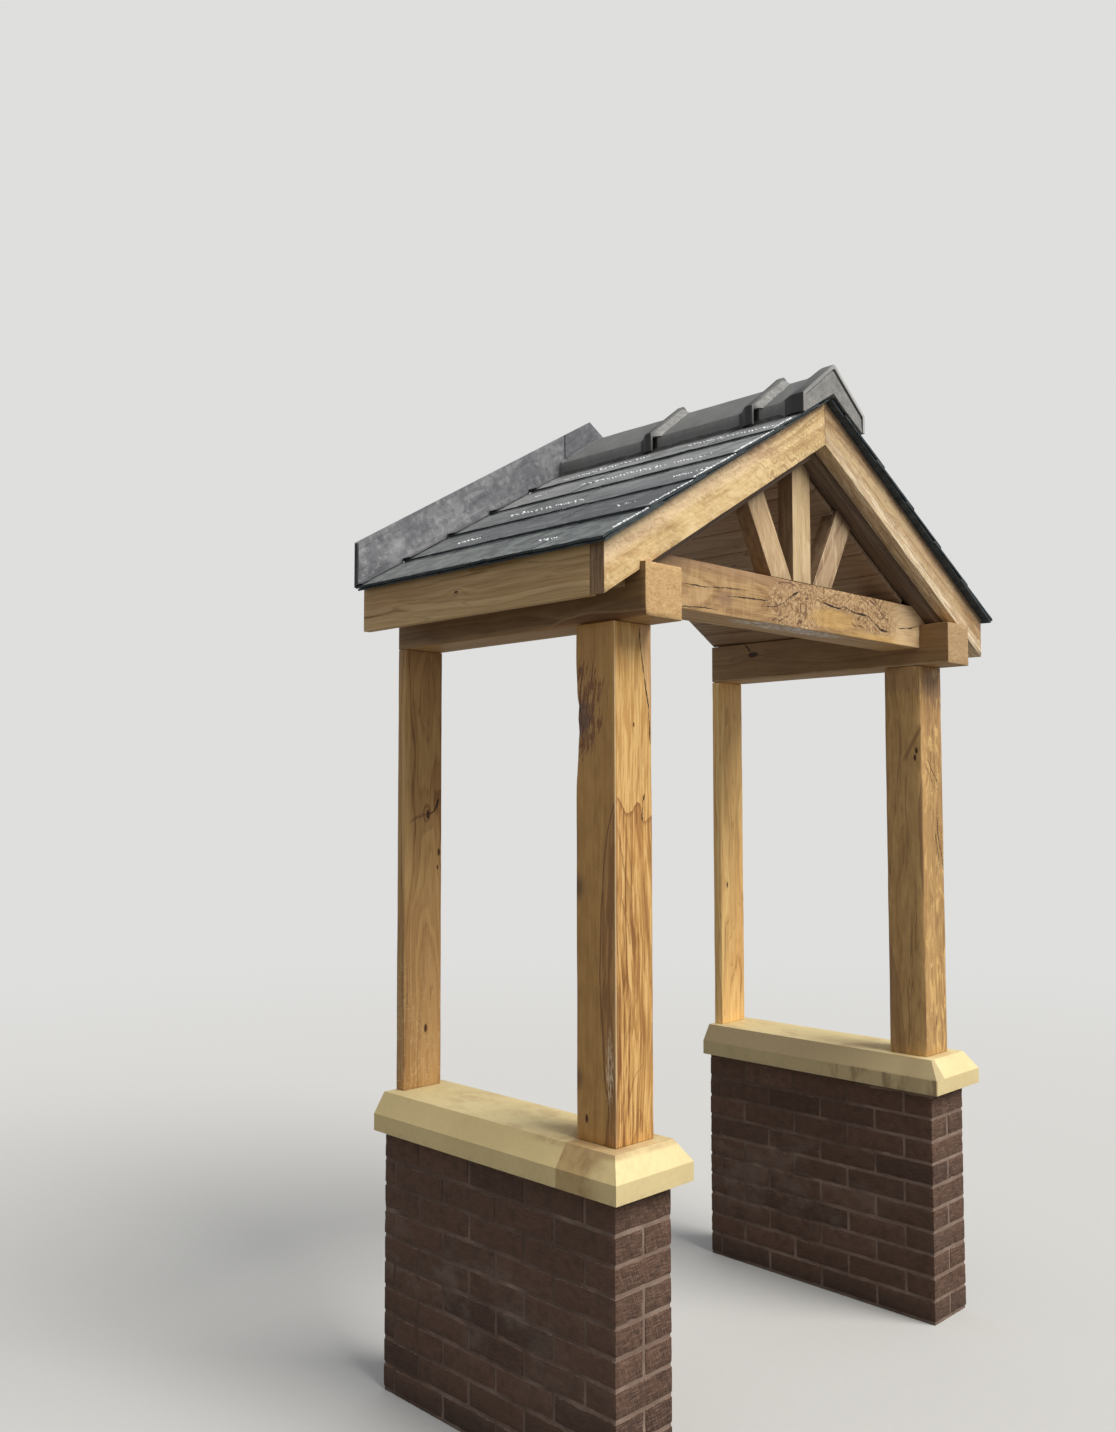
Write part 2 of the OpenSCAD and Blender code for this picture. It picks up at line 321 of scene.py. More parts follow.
def oak(name, rot, centre, light, dark, seed=0.0, ring=0.006, bend=0.040, taper=0.0, contrast=1.0, knots=(), cracks=(),
        extra=None, rough=0.50, checks=0.5, streak=1.0, marks=(), late=0.32, end=None):
    """Oak: growth rings about a pith line (centre, along the grain), bent by slow noise and round the knots, with
    fibre, pores, soft broad bands, fine checks, and the drawn marks and cracks."""
    g = Graph(name)
    inv = Euler(rot).to_matrix().inverted()
    L = g.turn(g.P, centre, rot)
    seedv = (seed * 3.7, seed * 1.9, seed * 5.3)
    Ls = g.v("ADD", L, seedv)
    slow = g.noise(g.v("MULTIPLY", Ls, (6.0, 6.0, 1.3)), 1.0, 2.0, 0.5, colour=True)
    quick = g.noise(g.v("MULTIPLY", Ls, (26, 26, 4.0)), 1.0, 2.0, 0.5, colour=True)
    Q = g.v("ADD", L, g.v("SCALE", g.v("SUBTRACT", slow, (0.5, 0.5, 0.5)), scale=bend * 2))
    Q = g.v("ADD", Q, g.v("SCALE", g.v("SUBTRACT", quick, (0.5, 0.5, 0.5)), scale=bend * 0.30))
    qx, qy, qz = g.xyz(Q)
    r = g.m("SQRT", g.m("ADD", g.m("MULTIPLY", qx, qx), g.m("MULTIPLY", qy, qy)))
    if taper:
        r = g.m("MULTIPLY_ADD", qz, taper, r)
    t = g.m("DIVIDE", r, ring)
    core = None
    for k in knots:
        kc, kr, amp = k[0], k[1], k[2]
        stretch = k[3] if len(k) > 3 else 0.45
        kl = inv @ (Vector(kc) - Vector(centre))
        d = g.v("LENGTH", g.v("MULTIPLY", g.v("SUBTRACT", g.v("ADD", L, g.v("SCALE", g.v("SUBTRACT", quick, (0.5, 0.5, 0.5)), scale=kr * 0.7)),
                                                tuple(kl)), (1 / kr, 1 / kr, stretch / kr)))
        t = g.m("ADD", t, g.m("DIVIDE", amp, g.m("MULTIPLY_ADD", d, g.m("MULTIPLY", d, 0.12), 1.0)))
        if k[4] if len(k) > 4 else True:
            c = g.m("MULTIPLY", g.span(d, 1.05, 0.70), g.span(d, 1.0, 0.45, 0.72, 0.98))
            core = c if core is None else g.m("MAXIMUM", core, c)
    band = g.noise1(g.m("MULTIPLY_ADD", t, 0.55, seed * 11.3), 3.0, 0.62)
    f = g.m("FRACT", t)
    ringdark = g.m("MULTIPLY", g.span(f, 0.70, 0.0), g.span(f, 0.0, 0.10))
    ringdark = g.m("MULTIPLY", ringdark, g.m("MULTIPLY_ADD", g.white(g.m("FLOOR", t)), 1.1, 0.15))
    s1 = g.noise(g.v("MULTIPLY", Ls, (120, 120, 3.0)), 1.0, 3.0, 0.55)
    s2 = g.noise(g.v("MULTIPLY", Ls, (430, 430, 11)), 1.0, 2.0, 0.6)
    broad = g.noise(g.v("MULTIPLY", Ls, (5.0, 5.0, 1.0)), 1.0, 2.0, 0.5)
    k = g.m("MULTIPLY", ringdark, late)
    k = g.m("MULTIPLY_ADD", g.m("SUBTRACT", band, 0.5), 1.55, k)
    k = g.m("MULTIPLY_ADD", g.m("SUBTRACT", s1, 0.5), 0.85 * streak, k)
    k = g.m("MULTIPLY_ADD", g.m("SUBTRACT", s2, 0.5), 1.00 * streak, k)
    k = g.m("MULTIPLY_ADD", g.m("SUBTRACT", broad, 0.5), 1.0, k)
    fac = g.m("MULTIPLY_ADD", k, contrast, 0.34, clamp=True)
    mid = tuple(0.55 * a + 0.45 * b for a, b in zip(light, dark))
    hi = (min(1, light[0] * 1.12), min(1, light[1] * 1.16), min(1, light[2] * 1.25))
    deep = (dark[0] * 0.62, dark[1] * 0.58, dark[2] * 0.58)
    col = g.ramp(fac, [(0.0, hi), (0.28, light), (0.55, mid), (0.84, dark), (1.0, deep)])
    warm = g.noise(g.v("MULTIPLY", Ls, (9, 9, 1.6)), 1.0, 1.0, 0.5)
    col = g.mix(g.span(warm, 0.45, 0.78, 0, 0.30), col, (dark[0] * 1.25, dark[1] * 1.05, dark[2] * 0.95))
    if extra is not None:
        col = extra(g, col, fac, slow)
    if core is not None:
        col = g.mix(core, col, (dark[0] * 0.20, dark[1] * 0.15, dark[2] * 0.15))
    height = g.m("MULTIPLY_ADD", s2, 0.35, g.m("MULTIPLY", ringdark, -0.15))
    # fine checks that follow the grain
    chk = None
    if checks:
        c1 = g.noise(g.v("MULTIPLY", g.v("ADD", Ls, g.v("SCALE", g.v("SUBTRACT", quick, (0.5, 0.5, 0.5)), scale=0.01)), (34, 34, 1.5)), 1.0, 1.5, 0.5)
        c2 = g.noise(g.v("MULTIPLY", Ls, (14, 14, 5.5)), 1.0, 1.0, 0.5)
        line = g.span(g.m("ABSOLUTE", g.m("SUBTRACT", c1, 0.5)), 0.012, 0.002)
        chk = g.m("MULTIPLY", line, g.span(c2, 0.56, 0.66, 0, checks))
    if cracks or marks:
        wob = g.noise(g.P, 55.0, 3.0, 0.65, colour=True)
        pw = g.v("ADD", g.P, g.v("SCALE", g.v("SUBTRACT", wob, (0.5, 0.5, 0.5)), scale=0.010))
        vary = g.span(g.noise(g.P, 24.0, 2.0, 0.6), 0.32, 0.62, 0.35, 1.45)
    for pts, width, colour, amount in marks:
        m = g.m("MULTIPLY", g.line(pw, pts, width, soft=0.15), g.span(s1, 0.30, 0.62, 0.45 * amount, amount))
        col = g.mix(m, col, colour)
    for pts, width in cracks:
        line = g.line(pw, pts, width, vary=vary)
        chk = line if chk is None else g.m("MAXIMUM", chk, line)
    if chk is not None:
        col = g.mix(chk, col, OAK_CUT)
        height = g.m("MULTIPLY_ADD", chk, -2.2, height)
    if end is not None:
        # sawn end grain: pores and faint rays instead of long fibre
        nrm = g.xyz(g.nt.nodes.new("ShaderNodeTexCoord").outputs["Normal"])[1]
        pores = g.noise(g.v("MULTIPLY", g.P, (210, 210, 330)), 1.0, 3.0, 0.65)
        rays = g.noise(g.v("MULTIPLY", g.P, (34, 34, 110)), 1.0, 3.0, 0.6, 0.8)
        e = g.ramp(g.m("MULTIPLY_ADD", g.m("SUBTRACT", rays, 0.5), 0.9, g.m("MULTIPLY_ADD", g.m("SUBTRACT", pores, 0.5), 1.3, 0.5)), [(0.12, end[0]), (0.5, end[1]), (0.88, end[2])])
        col = g.mix(g.span(nrm, -0.5, -0.8, 0, 0.88), col, e)
    ro = g.m("MULTIPLY_ADD", fac, 0.16, rough - 0.06)
    g.bsdf.inputs["Specular IOR Level"].default_value = 0.34
    return g.finish(col, ro, g.bump(height, 0.55, 0.0012))


# ---------------------------------------------------------------- mesh helpers
def mesh_object(name, verts, faces, material, smooth=True, sharp=35, tones=None):
    me = bpy.data.meshes.new(name)
    me.from_pydata([tuple(v) for v in verts], [], [tuple(int(i) for i in f) for f in faces])
    me.validate()
    me.update()
    if tones is not None:
        a = me.attributes.new("tone", "FLOAT", "POINT")
        a.data.foreach_set("value", np.asarray(tones, np.float32))
    obj = bpy.data.objects.new(name, me)
    bpy.context.scene.collection.objects.link(obj)
    me.materials.append(material)
    if smooth:
        me.polygons.foreach_set("use_smooth", [True] * len(me.polygons))
        me.set_sharp_from_angle(angle=R(sharp))
    return obj


def lattice_box(size, segs, r):
    """Rounded box about the origin: vertices and quads, with loops one radius in from every edge."""
    axes = []
    for h2, n in zip(size, segs):
        h = h2 / 2
        rr = min(r, h * 0.45)
        axes.append(np.concatenate([[-h], np.linspace(-h + rr, h - rr, n + 1), [h]]))
    nx, ny, nz = (len(a) for a in axes)
    index, verts = {}, []
    for i in range(nx):
        for j in range(ny):
            for k in range(nz):
                if i in (0, nx - 1) or j in (0, ny - 1) or k in (0, nz - 1):
                    index[i, j, k] = len(verts)
                    verts.append((axes[0][i], axes[1][j], axes[2][k]))
    V = np.array(verts)
    inner = np.array([np.array(size) / 2 - np.minimum(r, np.array(size) / 2 * 0.45)])
    q = np.clip(V, -inner, inner)
    dv = V - q
    ln = np.linalg.norm(dv, axis=1, keepdims=True)
    rr = np.minimum(r, np.array(size).min() / 2 * 0.45)
    V = np.where(ln > 1e-9, q + dv / np.maximum(ln, 1e-9) * np.minimum(ln, rr), V)
    F = []
    for j in range(ny - 1):
        for k in range(nz - 1):
            F.append((index[0, j, k], index[0, j, k + 1], index[0, j + 1, k + 1], index[0, j + 1, k]))
            F.append((index[nx - 1, j, k], index[nx - 1, j + 1, k], index[nx - 1, j + 1, k + 1], index[nx - 1, j, k + 1]))
    for i in range(nx - 1):
        for k in range(nz - 1):
            F.append((index[i, 0, k], index[i + 1, 0, k], index[i + 1, 0, k + 1], index[i, 0, k + 1]))
            F.append((index[i, ny - 1, k], index[i, ny - 1, k + 1], index[i + 1, ny - 1, k + 1], index[i + 1, ny - 1, k]))
    for i in range(nx - 1):
        for j in range(ny - 1):
            F.append((index[i, j, 0], index[i, j + 1, 0], index[i + 1, j + 1, 0], index[i + 1, j, 0]))
            F.append((index[i, j, nz - 1], index[i + 1, j, nz - 1], index[i + 1, j + 1, nz - 1], index[i, j + 1, nz - 1]))
    return V, F


class Heap:
    """Many small solids gathered into one mesh."""

    def __init__(self):
        self.v, self.f, self.t, self.n = [], [], [], 0

    def add(self, verts, faces, tone=0.0):
        verts = np.asarray(verts, float)
        self.v.append(verts)
        self.f.extend([tuple(i + self.n for i in f) for f in faces])
        self.t.append(np.full(len(verts), tone))
        self.n += len(verts)

    def object(self, name, material, sharp=35):
        return mesh_object(name, np.concatenate(self.v), self.f, material, True, sharp, np.concatenate(self.t))


def place(obj, slot, *nodes):
    if nodes:
        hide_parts(*nodes)
    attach(obj, "root")
    return obj


def worked(node, name, material, slot, along, steps=(0.045, 0.03), bevel=0.0020, amp=0.0006, arris=0.0010, shape=None, seed=0):
    """A copy of a CAD node's solid with eased arrises and the slight unevenness of sawn and planed timber, all inward."""
    src = NODES[node]
    bm = bmesh.new()
    bm.from_mesh(src.data)
    bmesh.ops.remove_doubles(bm, verts=bm.verts, dist=1e-5)
    bmesh.ops.dissolve_limit(bm, angle_limit=R(1), verts=bm.verts, edges=bm.edges)
    edges = [e for e in bm.edges if len(e.link_faces) == 2 and e.calc_face_angle(0) > R(20)]
    bmesh.ops.bevel(bm, geom=edges, offset=bevel, offset_type="OFFSET", segments=2, profile=0.5, affect="EDGES", clamp_overlap=True)
    w = Vector(along).normalized()
    u = w.cross(Vector((0, 1, 0)) if abs(w.y) < 0.9 else Vector((1, 0, 0))).normalized()
    v = w.cross(u).normalized()
    for d, step in ((w, steps[0]), (u, steps[1]), (v, steps[1])):
        vals = [x.co.dot(d) for x in bm.verts]
        lo, hi = min(vals), max(vals)
        n = max(1, int(round((hi - lo) / step)))
        cuts = [lo + bevel + 0.0012, hi - bevel - 0.0012] + [lo + (hi - lo) * i / n for i in range(1, n)]
        for c in cuts:
            bmesh.ops.bisect_plane(bm, geom=bm.verts[:] + bm.edges[:] + bm.faces[:], plane_co=d * c, plane_no=d, dist=1e-6)
    bm.normal_update()
    moves = []
    for x in bm.verts:
        nrm = x.normal
        p = x.co
        q = Vector((p.dot(u) * 7, p.dot(v) * 7, p.dot(w) * 3)) + Vector((seed * 7.1, seed * 3.3, seed))
        a = (0.5 + 0.5 * mn.noise(q)) * amp
        flat = max(abs(nrm.dot(d)) for d in (u, v, w))
        if flat < 0.985:
            qa = Vector((p.dot(u) * 5 + 9, p.dot(v) * 5, p.dot(w) * 9)) + Vector((seed, seed * 2.1, 4.0))
            a += max(0.0, 0.35 + mn.noise(qa)) * arris
        moves.append(-nrm * a)
    for x, mv in zip(bm.verts, moves):
        x.co += mv
    if shape is not None:
        for x in bm.verts:
            x.co = Vector(shape(x.co.copy(), x.normal))
    bmesh.ops.triangulate(bm, faces=[f for f in bm.faces if len(f.verts) > 4])
    me = bpy.data.meshes.new(name)
    bm.to_mesh(me)
    bm.free()
    me.materials.append(material)
    me.polygons.foreach_set("use_smooth", [True] * len(me.polygons))
    me.set_sharp_from_angle(angle=R(50))
    obj = bpy.data.objects.new(name, me)
    bpy.context.scene.collection.objects.link(obj)
    return place(obj, slot, node)


# ---------------------------------------------------------------- brick dwarf walls
def brick_material():
    g = Graph("brick")
    tone = g.attr("tone")
    n1 = g.noise(g.P, 32.0, 4.0, 0.6)
    n2 = g.noise(g.P, 300.0, 3.0, 0.6)
    drag = g.noise(g.v("MULTIPLY", g.P, (34, 34, 300)), 1.0, 4.0, 0.68)
    x, y, z = g.xyz(g.P)
    col = g.ramp(tone, [(0.0, (0.094, 0.055, 0.040)), (0.35, (0.128, 0.076, 0.054)), (0.7, (0.146, 0.085, 0.060)), (1.0, (0.172, 0.104, 0.074))])
    col = g.mix(g.span(n1, 0.42, 0.72, 0, 0.55), col, (0.070, 0.046, 0.038))
    ends = g.span(g.m("ABSOLUTE", g.normal()[1]), 0.5, 0.8)
    strong = g.m("MULTIPLY_ADD", ends, 0.72, 0.28)
    col = g.mix(g.m("MULTIPLY", g.span(drag, 0.52, 0.64, 0, 0.70), strong), col, (0.270, 0.175, 0.135))
    col = g.mix(g.m("MULTIPLY", g.span(drag, 0.46, 0.36, 0, 0.68), strong), col, (0.048, 0.031, 0.026))
    score = g.noise(g.v("MULTIPLY", g.v("ADD", g.P, g.v("MULTIPLY", g.vec(z, z, z), (0.35, 0, 0))), (420, 60, 30)), 1.0, 3.0, 0.6)
    col = g.mix(g.m("MULTIPLY", ends, g.span(score, 0.55, 0.66, 0, 0.55)), col, (0.255, 0.170, 0.132))
    col = g.mix(g.m("MULTIPLY", ends, g.span(score, 0.45, 0.35, 0, 0.60)), col, (0.042, 0.028, 0.024))
    col = g.mix(g.span(n2, 0.60, 0.78, 0, 0.35), col, (0.27, 0.19, 0.155))
    # pale salt bloom in soft clouds low on the side faces, and darker in the lowest 100 mm
    bl = g.m("MULTIPLY", g.span(g.noise(g.v("MULTIPLY", g.P, (5, 6, 10)), 1.0, 5.0, 0.68), 0.46, 0.68, 0, 0.42),
             g.m("MULTIPLY", g.span(z, 0.10, 0.30), g.span(z, 0.60, 0.42)))
    bl = g.m("MULTIPLY", bl, g.span(y, -0.34, 0.0, 0.20, 1.0))
    nx, ny, nz = g.normal()
    # painted highlight: brick faces that face upward are lightened, broken up by noise
    top_highlight_noise = g.noise(g.P, 70.0, 3.0, 0.6)
    col = g.mix(g.m("MULTIPLY", g.span(nz, 0.20, 0.60), g.span(top_highlight_noise, 0.40, 0.58, 0.2, 0.75)), col, (0.340, 0.245, 0.195))
    col = g.mix(bl, col, (0.26, 0.215, 0.185))
    col = g.mix(g.span(z, 0.10, 0.0, 0, 0.45), col, (0.060, 0.046, 0.038))
    col = g.mix(1.0, col, (0.92, 0.87, 0.83), "MULTIPLY")
    h = g.m("ADD", g.m("MULTIPLY", g.m("MULTIPLY", drag, 1.3), strong), g.m("MULTIPLY_ADD", n2, 0.5, g.m("MULTIPLY", n1, 0.7)))
    h = g.m("MULTIPLY_ADD", g.m("MULTIPLY", score, ends), 1.1, h)
    pits = g.span(g.cells(g.P, 150.0), 0.0, 0.28, -1.0, 0.0)
    h = g.m("ADD", h, g.m("MULTIPLY", pits, 0.5))
    ro = g.m("MULTIPLY_ADD", n1, 0.25, 0.66)
    g.bsdf.inputs["Specular IOR Level"].default_value = 0.3
    return g.finish(col, ro, g.bump(h, 0.9, 0.0018))


def mortar_material(name, side):
    g = Graph(name)
    n1 = g.noise(g.P, 9.0, 4.0, 0.6)
    n2 = g.noise(g.P, 420.0, 3.0, 0.65)
    n3 = g.noise(g.P, 3.4, 3.0, 0.6)
    x, y, z = g.xyz(g.P)
    col = g.ramp(n1, [(0.25, (0.150, 0.100, 0.076)), (0.5, (0.235, 0.166, 0.130)), (0.75, (0.340, 0.256, 0.208))])
    col = g.mix(g.span(n2, 0.55, 0.75, 0, 0.35), col, (0.36, 0.29, 0.24))
    # smeared over and stained in the damp upper and rear parts, clean low down at the front
    lean = g.m("MULTIPLY_ADD", z, 0.62 if side > 0 else 0.30, g.m("MULTIPLY", y, 0.42 if side > 0 else 0.16))
    hide = g.span(g.m("ADD", lean, g.m("MULTIPLY", g.m("SUBTRACT", n3, 0.5), 1.5)), 0.10 if side > 0 else -0.12, 0.46 if side > 0 else 0.26)
    front = g.span(g.normal()[1], -0.4, -0.8)
    hide = g.m("MULTIPLY", hide, g.m("SUBTRACT", 1.0, front))
    col = g.mix(g.m("MULTIPLY", hide, 0.88), col, g.mix(n1, (0.080, 0.050, 0.038), (0.150, 0.096, 0.072)))
    h = g.m("MULTIPLY_ADD", n2, 0.9, g.m("MULTIPLY", n1, 1.2))
    g.bsdf.inputs["Specular IOR Level"].default_value = 0.25
    return g.finish(col, 0.88, g.bump(h, 0.8, 0.0016))


def brick_wall(side):
    """One-brick wall, ten courses at 75 mm. Course kinds, top down: S a stretcher across the end, H two headers, B two half bats."""
    kinds = "SHSHBHSHSH" if side < 0 else "SHSHSHSHSH"
    rng = np.random.default_rng(11 if side < 0 else 23)
    heap = Heap()
    x_in, x_out, length = 0.681, 0.896, 0.945
    front, joint = out(length), 0.010
    cache = {}

    def brick(x0, x1, y0, y1, z0, z1, tone):
        size = (x1 - x0, y1 - y0, z1 - z0)
        key = tuple(round(s, 4) for s in size)
        if key not in cache:
            segs = [max(2, int(round(s / 0.020))) for s in size]
            cache[key] = lattice_box(size, segs, 0.0028)
        V, F = cache[key]
        V = V.copy()
        jit = rng.uniform(-1, 1, 3)
        off = rng.uniform(0, 50, 3)
        half = np.array(size) / 2
        moved = np.empty_like(V)
        for i, p in enumerate(V):
            q = Vector(p * 28 + off)
            w = mn.noise_vector(q) * 0.0006 + mn.noise_vector(q * 3.1) * 0.0003
            # chipped arrises
            near = sum(1 for c in range(3) if abs(abs(p[c]) - half[c]) < 0.0035)
            pull = 0.0
            if near >= 2:
                pull = max(0.0, mn.noise(Vector(p * 60 + off * 1.7)) - 0.16) * 0.0036
            moved[i] = p + np.array(w) - np.sign(p) * pull * (np.abs(np.abs(p) - half) < 0.0035)
        # keep the outer faces inside the wall's own box
        c = np.array([(x0 + x1) / 2, (y0 + y1) / 2, (z0 + z1) / 2]) + jit * (0.0006, 0.0008, 0.0006)
        pts = moved + c
        pts[:, 0] = np.clip(pts[:, 0], x_in + 0.0001, x_out - 0.0001)
        pts[:, 1] = np.clip(pts[:, 1], front + 0.0001, BACK - 0.0001)
        pts[:, 0] *= side
        heap.add(pts, [f[::-1] for f in F] if side < 0 else F, tone)

    for row, kind in enumerate(kinds):
        k = 9 - row
        z0, z1 = 0.075 * k + 0.010, 0.075 * k + 0.075
        y = front

        def tone():
            return float(np.clip(rng.normal(0.48, 0.26), 0, 1))

        if kind == "S":
            brick(x_in, x_out, y, y + 0.1025, z0, z1, tone())
            y += 0.1025 + joint
        elif kind == "B":
            brick(x_in, x_in + 0.1025, y, y + 0.1025, z0, z1, tone())
            brick(x_out - 0.1025, x_out, y, y + 0.1025, z0, z1, tone())
            y += 0.1025 + joint
        while y < BACK - 0.02:
            e = min(y + 0.215, BACK)
            brick(x_in, x_in + 0.1025, y, e, z0, z1, tone())
            brick(x_out - 0.1025, x_out, y, e, z0, z1, tone())
            y = e + joint
    name = "left" if side < 0 else "right"
    bricks = heap.object(name + "_wall_bricks", MATS["brick"], 40)
    # mortar: one core set back from the brick faces
    rec = 0.0024
    size = (x_out - x_in - 2 * rec, length - 2 * rec, 0.770)
    V, F = lattice_box(size, (14, 60, 76), 0.001)
    V = V + np.array([(x_in + x_out) / 2, (front + BACK) / 2, 0.385])
    for i, p in enumerate(V):
        q = Vector(p * 30)
        d = (mn.noise(q) * 0.0010 + mn.noise(q * 3.7) * 0.0006)
        nx = -1 if p[0] < x_in + rec + 0.001 else (1 if p[0] > x_out - rec - 0.001 else 0)
        ny = -1 if p[1] < front + rec + 0.001 else 0
        V[i] = p + np.array([nx * d, ny * d, 0])
    V[:, 0] *= side
    mortar = mesh_object(name + "_wall_mortar", V, [f[::-1] for f in F] if side < 0 else F, MATS["mortar_" + name])
    node = name + "_dwarf_wall"
    place(bricks, "brick", node)
    place(mortar, "brick", node)


# ---------------------------------------------------------------- cast stone copings
def stone_material(side):
    g = Graph("cast_stone_" + ("left" if side < 0 else "right"))
    n1 = g.noise(g.P, 5.0, 4.0, 0.6)
    n2 = g.noise(g.P, 60.0, 4.0, 0.6)
    grain = g.noise(g.P, 900.0, 2.0, 0.6)
    # painted shade: the outward side faces take a darker copy of the stone colour than the front faces
    front = g.ramp(n1, [(0.25, (0.745, 0.610, 0.320)), (0.5, (0.800, 0.670, 0.355)), (0.75, (0.84, 0.715, 0.395))])
    shaded_side_colour = g.ramp(n1, [(0.25, (0.665, 0.520, 0.250)), (0.5, (0.715, 0.565, 0.275)), (0.75, (0.76, 0.605, 0.305))])
    nx = g.xyz(g.nt.nodes.new("ShaderNodeTexCoord").outputs["Normal"])[0]
    col = g.mix(g.span(g.m("MULTIPLY", nx, float(side)), 0.35, 0.65), front, shaded_side_colour)
    col = g.mix(g.span(n2, 0.45, 0.75, 0, 0.30), col, (0.60, 0.46, 0.235))
    col = g.mix(g.span(grain, 0.55, 0.80, 0, 0.25), col, (0.88, 0.77, 0.50))
    x, y, z = g.xyz(g.P)
    wob = g.m("MULTIPLY", g.m("SUBTRACT", g.noise(g.P, 22.0, 3.0, 0.6), 0.5), 0.030)
    if side < 0:
        # a brown band on the left chamfer and side face below the front post, crisp in line with the post's back face
        # and fading to the front
        yy = g.m("ADD", y, g.m("MULTIPLY", wob, 0.25))
        band = g.m("MULTIPLY", g.span(yy, -0.2545, -0.2595), g.span(g.m("ADD", y, g.m("MULTIPLY", wob, 2.0)), -0.430, -0.330))
        run = g.m("MULTIPLY", band, g.span(x, -0.850, -0.872))
        blot = g.noise(g.v("MULTIPLY", g.P, (9, 13, 12)), 1.0, 4.0, 0.6)
        col = g.mix(g.m("MULTIPLY", run, g.span(blot, 0.30, 0.66, 0.62, 0.94)), col, g.mix(g.span(blot, 0.40, 0.62), (0.390, 0.238, 0.092), (0.295, 0.168, 0.060)))
        near = g.m("MULTIPLY", g.span(g.m("ADD", y, g.m("MULTIPLY", wob, 2.0)), -0.02, -0.20), g.span(z, 0.860, 0.872))
        col = g.mix(g.m("MULTIPLY", near, g.span(blot, 0.35, 0.65, 0.15, 0.72)), col, (0.430, 0.270, 0.125))
    else:
        band = g.m("MULTIPLY", g.span(g.m("ADD", y, wob), -0.30, -0.36), g.span(g.m("ADD", y, wob), -0.43, -0.38))
        col = g.mix(g.m("MULTIPLY", g.m("MULTIPLY", band, g.span(x, 0.72, 0.69)), 0.35), col, (0.42, 0.30, 0.15))
        # painted shade: the inner chamfer and the inner upright face are darkened, with brown runs toward the front
        nz = g.normal()[2]
        inner = g.m("MULTIPLY", g.span(x, 0.700, 0.690), g.m("MULTIPLY", g.span(nz, 0.30, 0.45), g.span(nz, 0.75, 0.65)))
        col = g.mix(g.m("MULTIPLY", inner, g.span(y, -0.42, 0.10, 0.62, 0.90)), col, g.mix(n2, (0.315, 0.232, 0.124), (0.430, 0.330, 0.188)))
        inner_face_shade = g.m("MULTIPLY", g.span(x, 0.650, 0.641), g.span(z, 0.826, 0.818))
        col = g.mix(g.m("MULTIPLY", inner_face_shade, 0.55), col, (0.400, 0.300, 0.160))
        runs = g.span(g.noise(g.v("MULTIPLY", g.P, (16, 16, 5)), 1.0, 4.0, 0.65), 0.48, 0.62)
        col = g.mix(g.m("MULTIPLY", g.m("MULTIPLY", inner_face_shade, runs), g.span(y, 0.05, -0.15, 0.10, 0.70)), col, (0.260, 0.165, 0.080))
    # tannin washed out of the posts over the top, in soft brown clouds
    cloud = g.noise(g.v("MULTIPLY", g.P, (9, 5, 9)), 1.0, 4.0, 0.62)
    col = g.mix(g.m("MULTIPLY", g.span(g.normal()[2], 0.80, 0.95), g.span(cloud, 0.48, 0.66, 0, 0.55)), col, (0.560, 0.380, 0.200))
    d1 = g.v("LENGTH", g.v("MULTIPLY", g.v("SUBTRACT", g.P, (side * 0.7845, -0.325, 0.878)), (9.0, 9.5, 16.0)))
    foot = g.m("MULTIPLY", g.span(g.m("MULTIPLY_ADD", g.m("SUBTRACT", cloud, 0.5), 0.7, d1), 1.12, 0.80), g.span(z, 0.848, 0.866))
    col = g.mix(g.m("MULTIPLY", foot, 0.42), col, (0.480, 0.300, 0.130))
    # rain splash along the lower front arris, and darker and mottled along the bottom 20 mm
    edge = g.m("MULTIPLY", g.span(z, 0.824, 0.816), g.span(g.normal()[1], -0.5, -0.8))
    col = g.mix(g.m("MULTIPLY", edge, 0.30), col, (0.56, 0.430, 0.215))
    low = g.m("MULTIPLY", g.span(z, 0.792, 0.772), g.span(n2, 0.35, 0.7))
    col = g.mix(g.m("MULTIPLY", low, 0.28), col, (0.46, 0.36, 0.22))
    h = g.m("MULTIPLY_ADD", grain, 0.35, g.m("MULTIPLY", n2, 0.5))
    pits = g.span(g.cells(g.P, 210.0), 0.0, 0.10, -1.0, 0.0)
    h = g.m("ADD", h, g.m("MULTIPLY", pits, 0.8))
    ro = g.m("MULTIPLY_ADD", n2, 0.2, 0.62)
    return g.finish(col, ro, g.bump(h, 0.5, 0.0010))


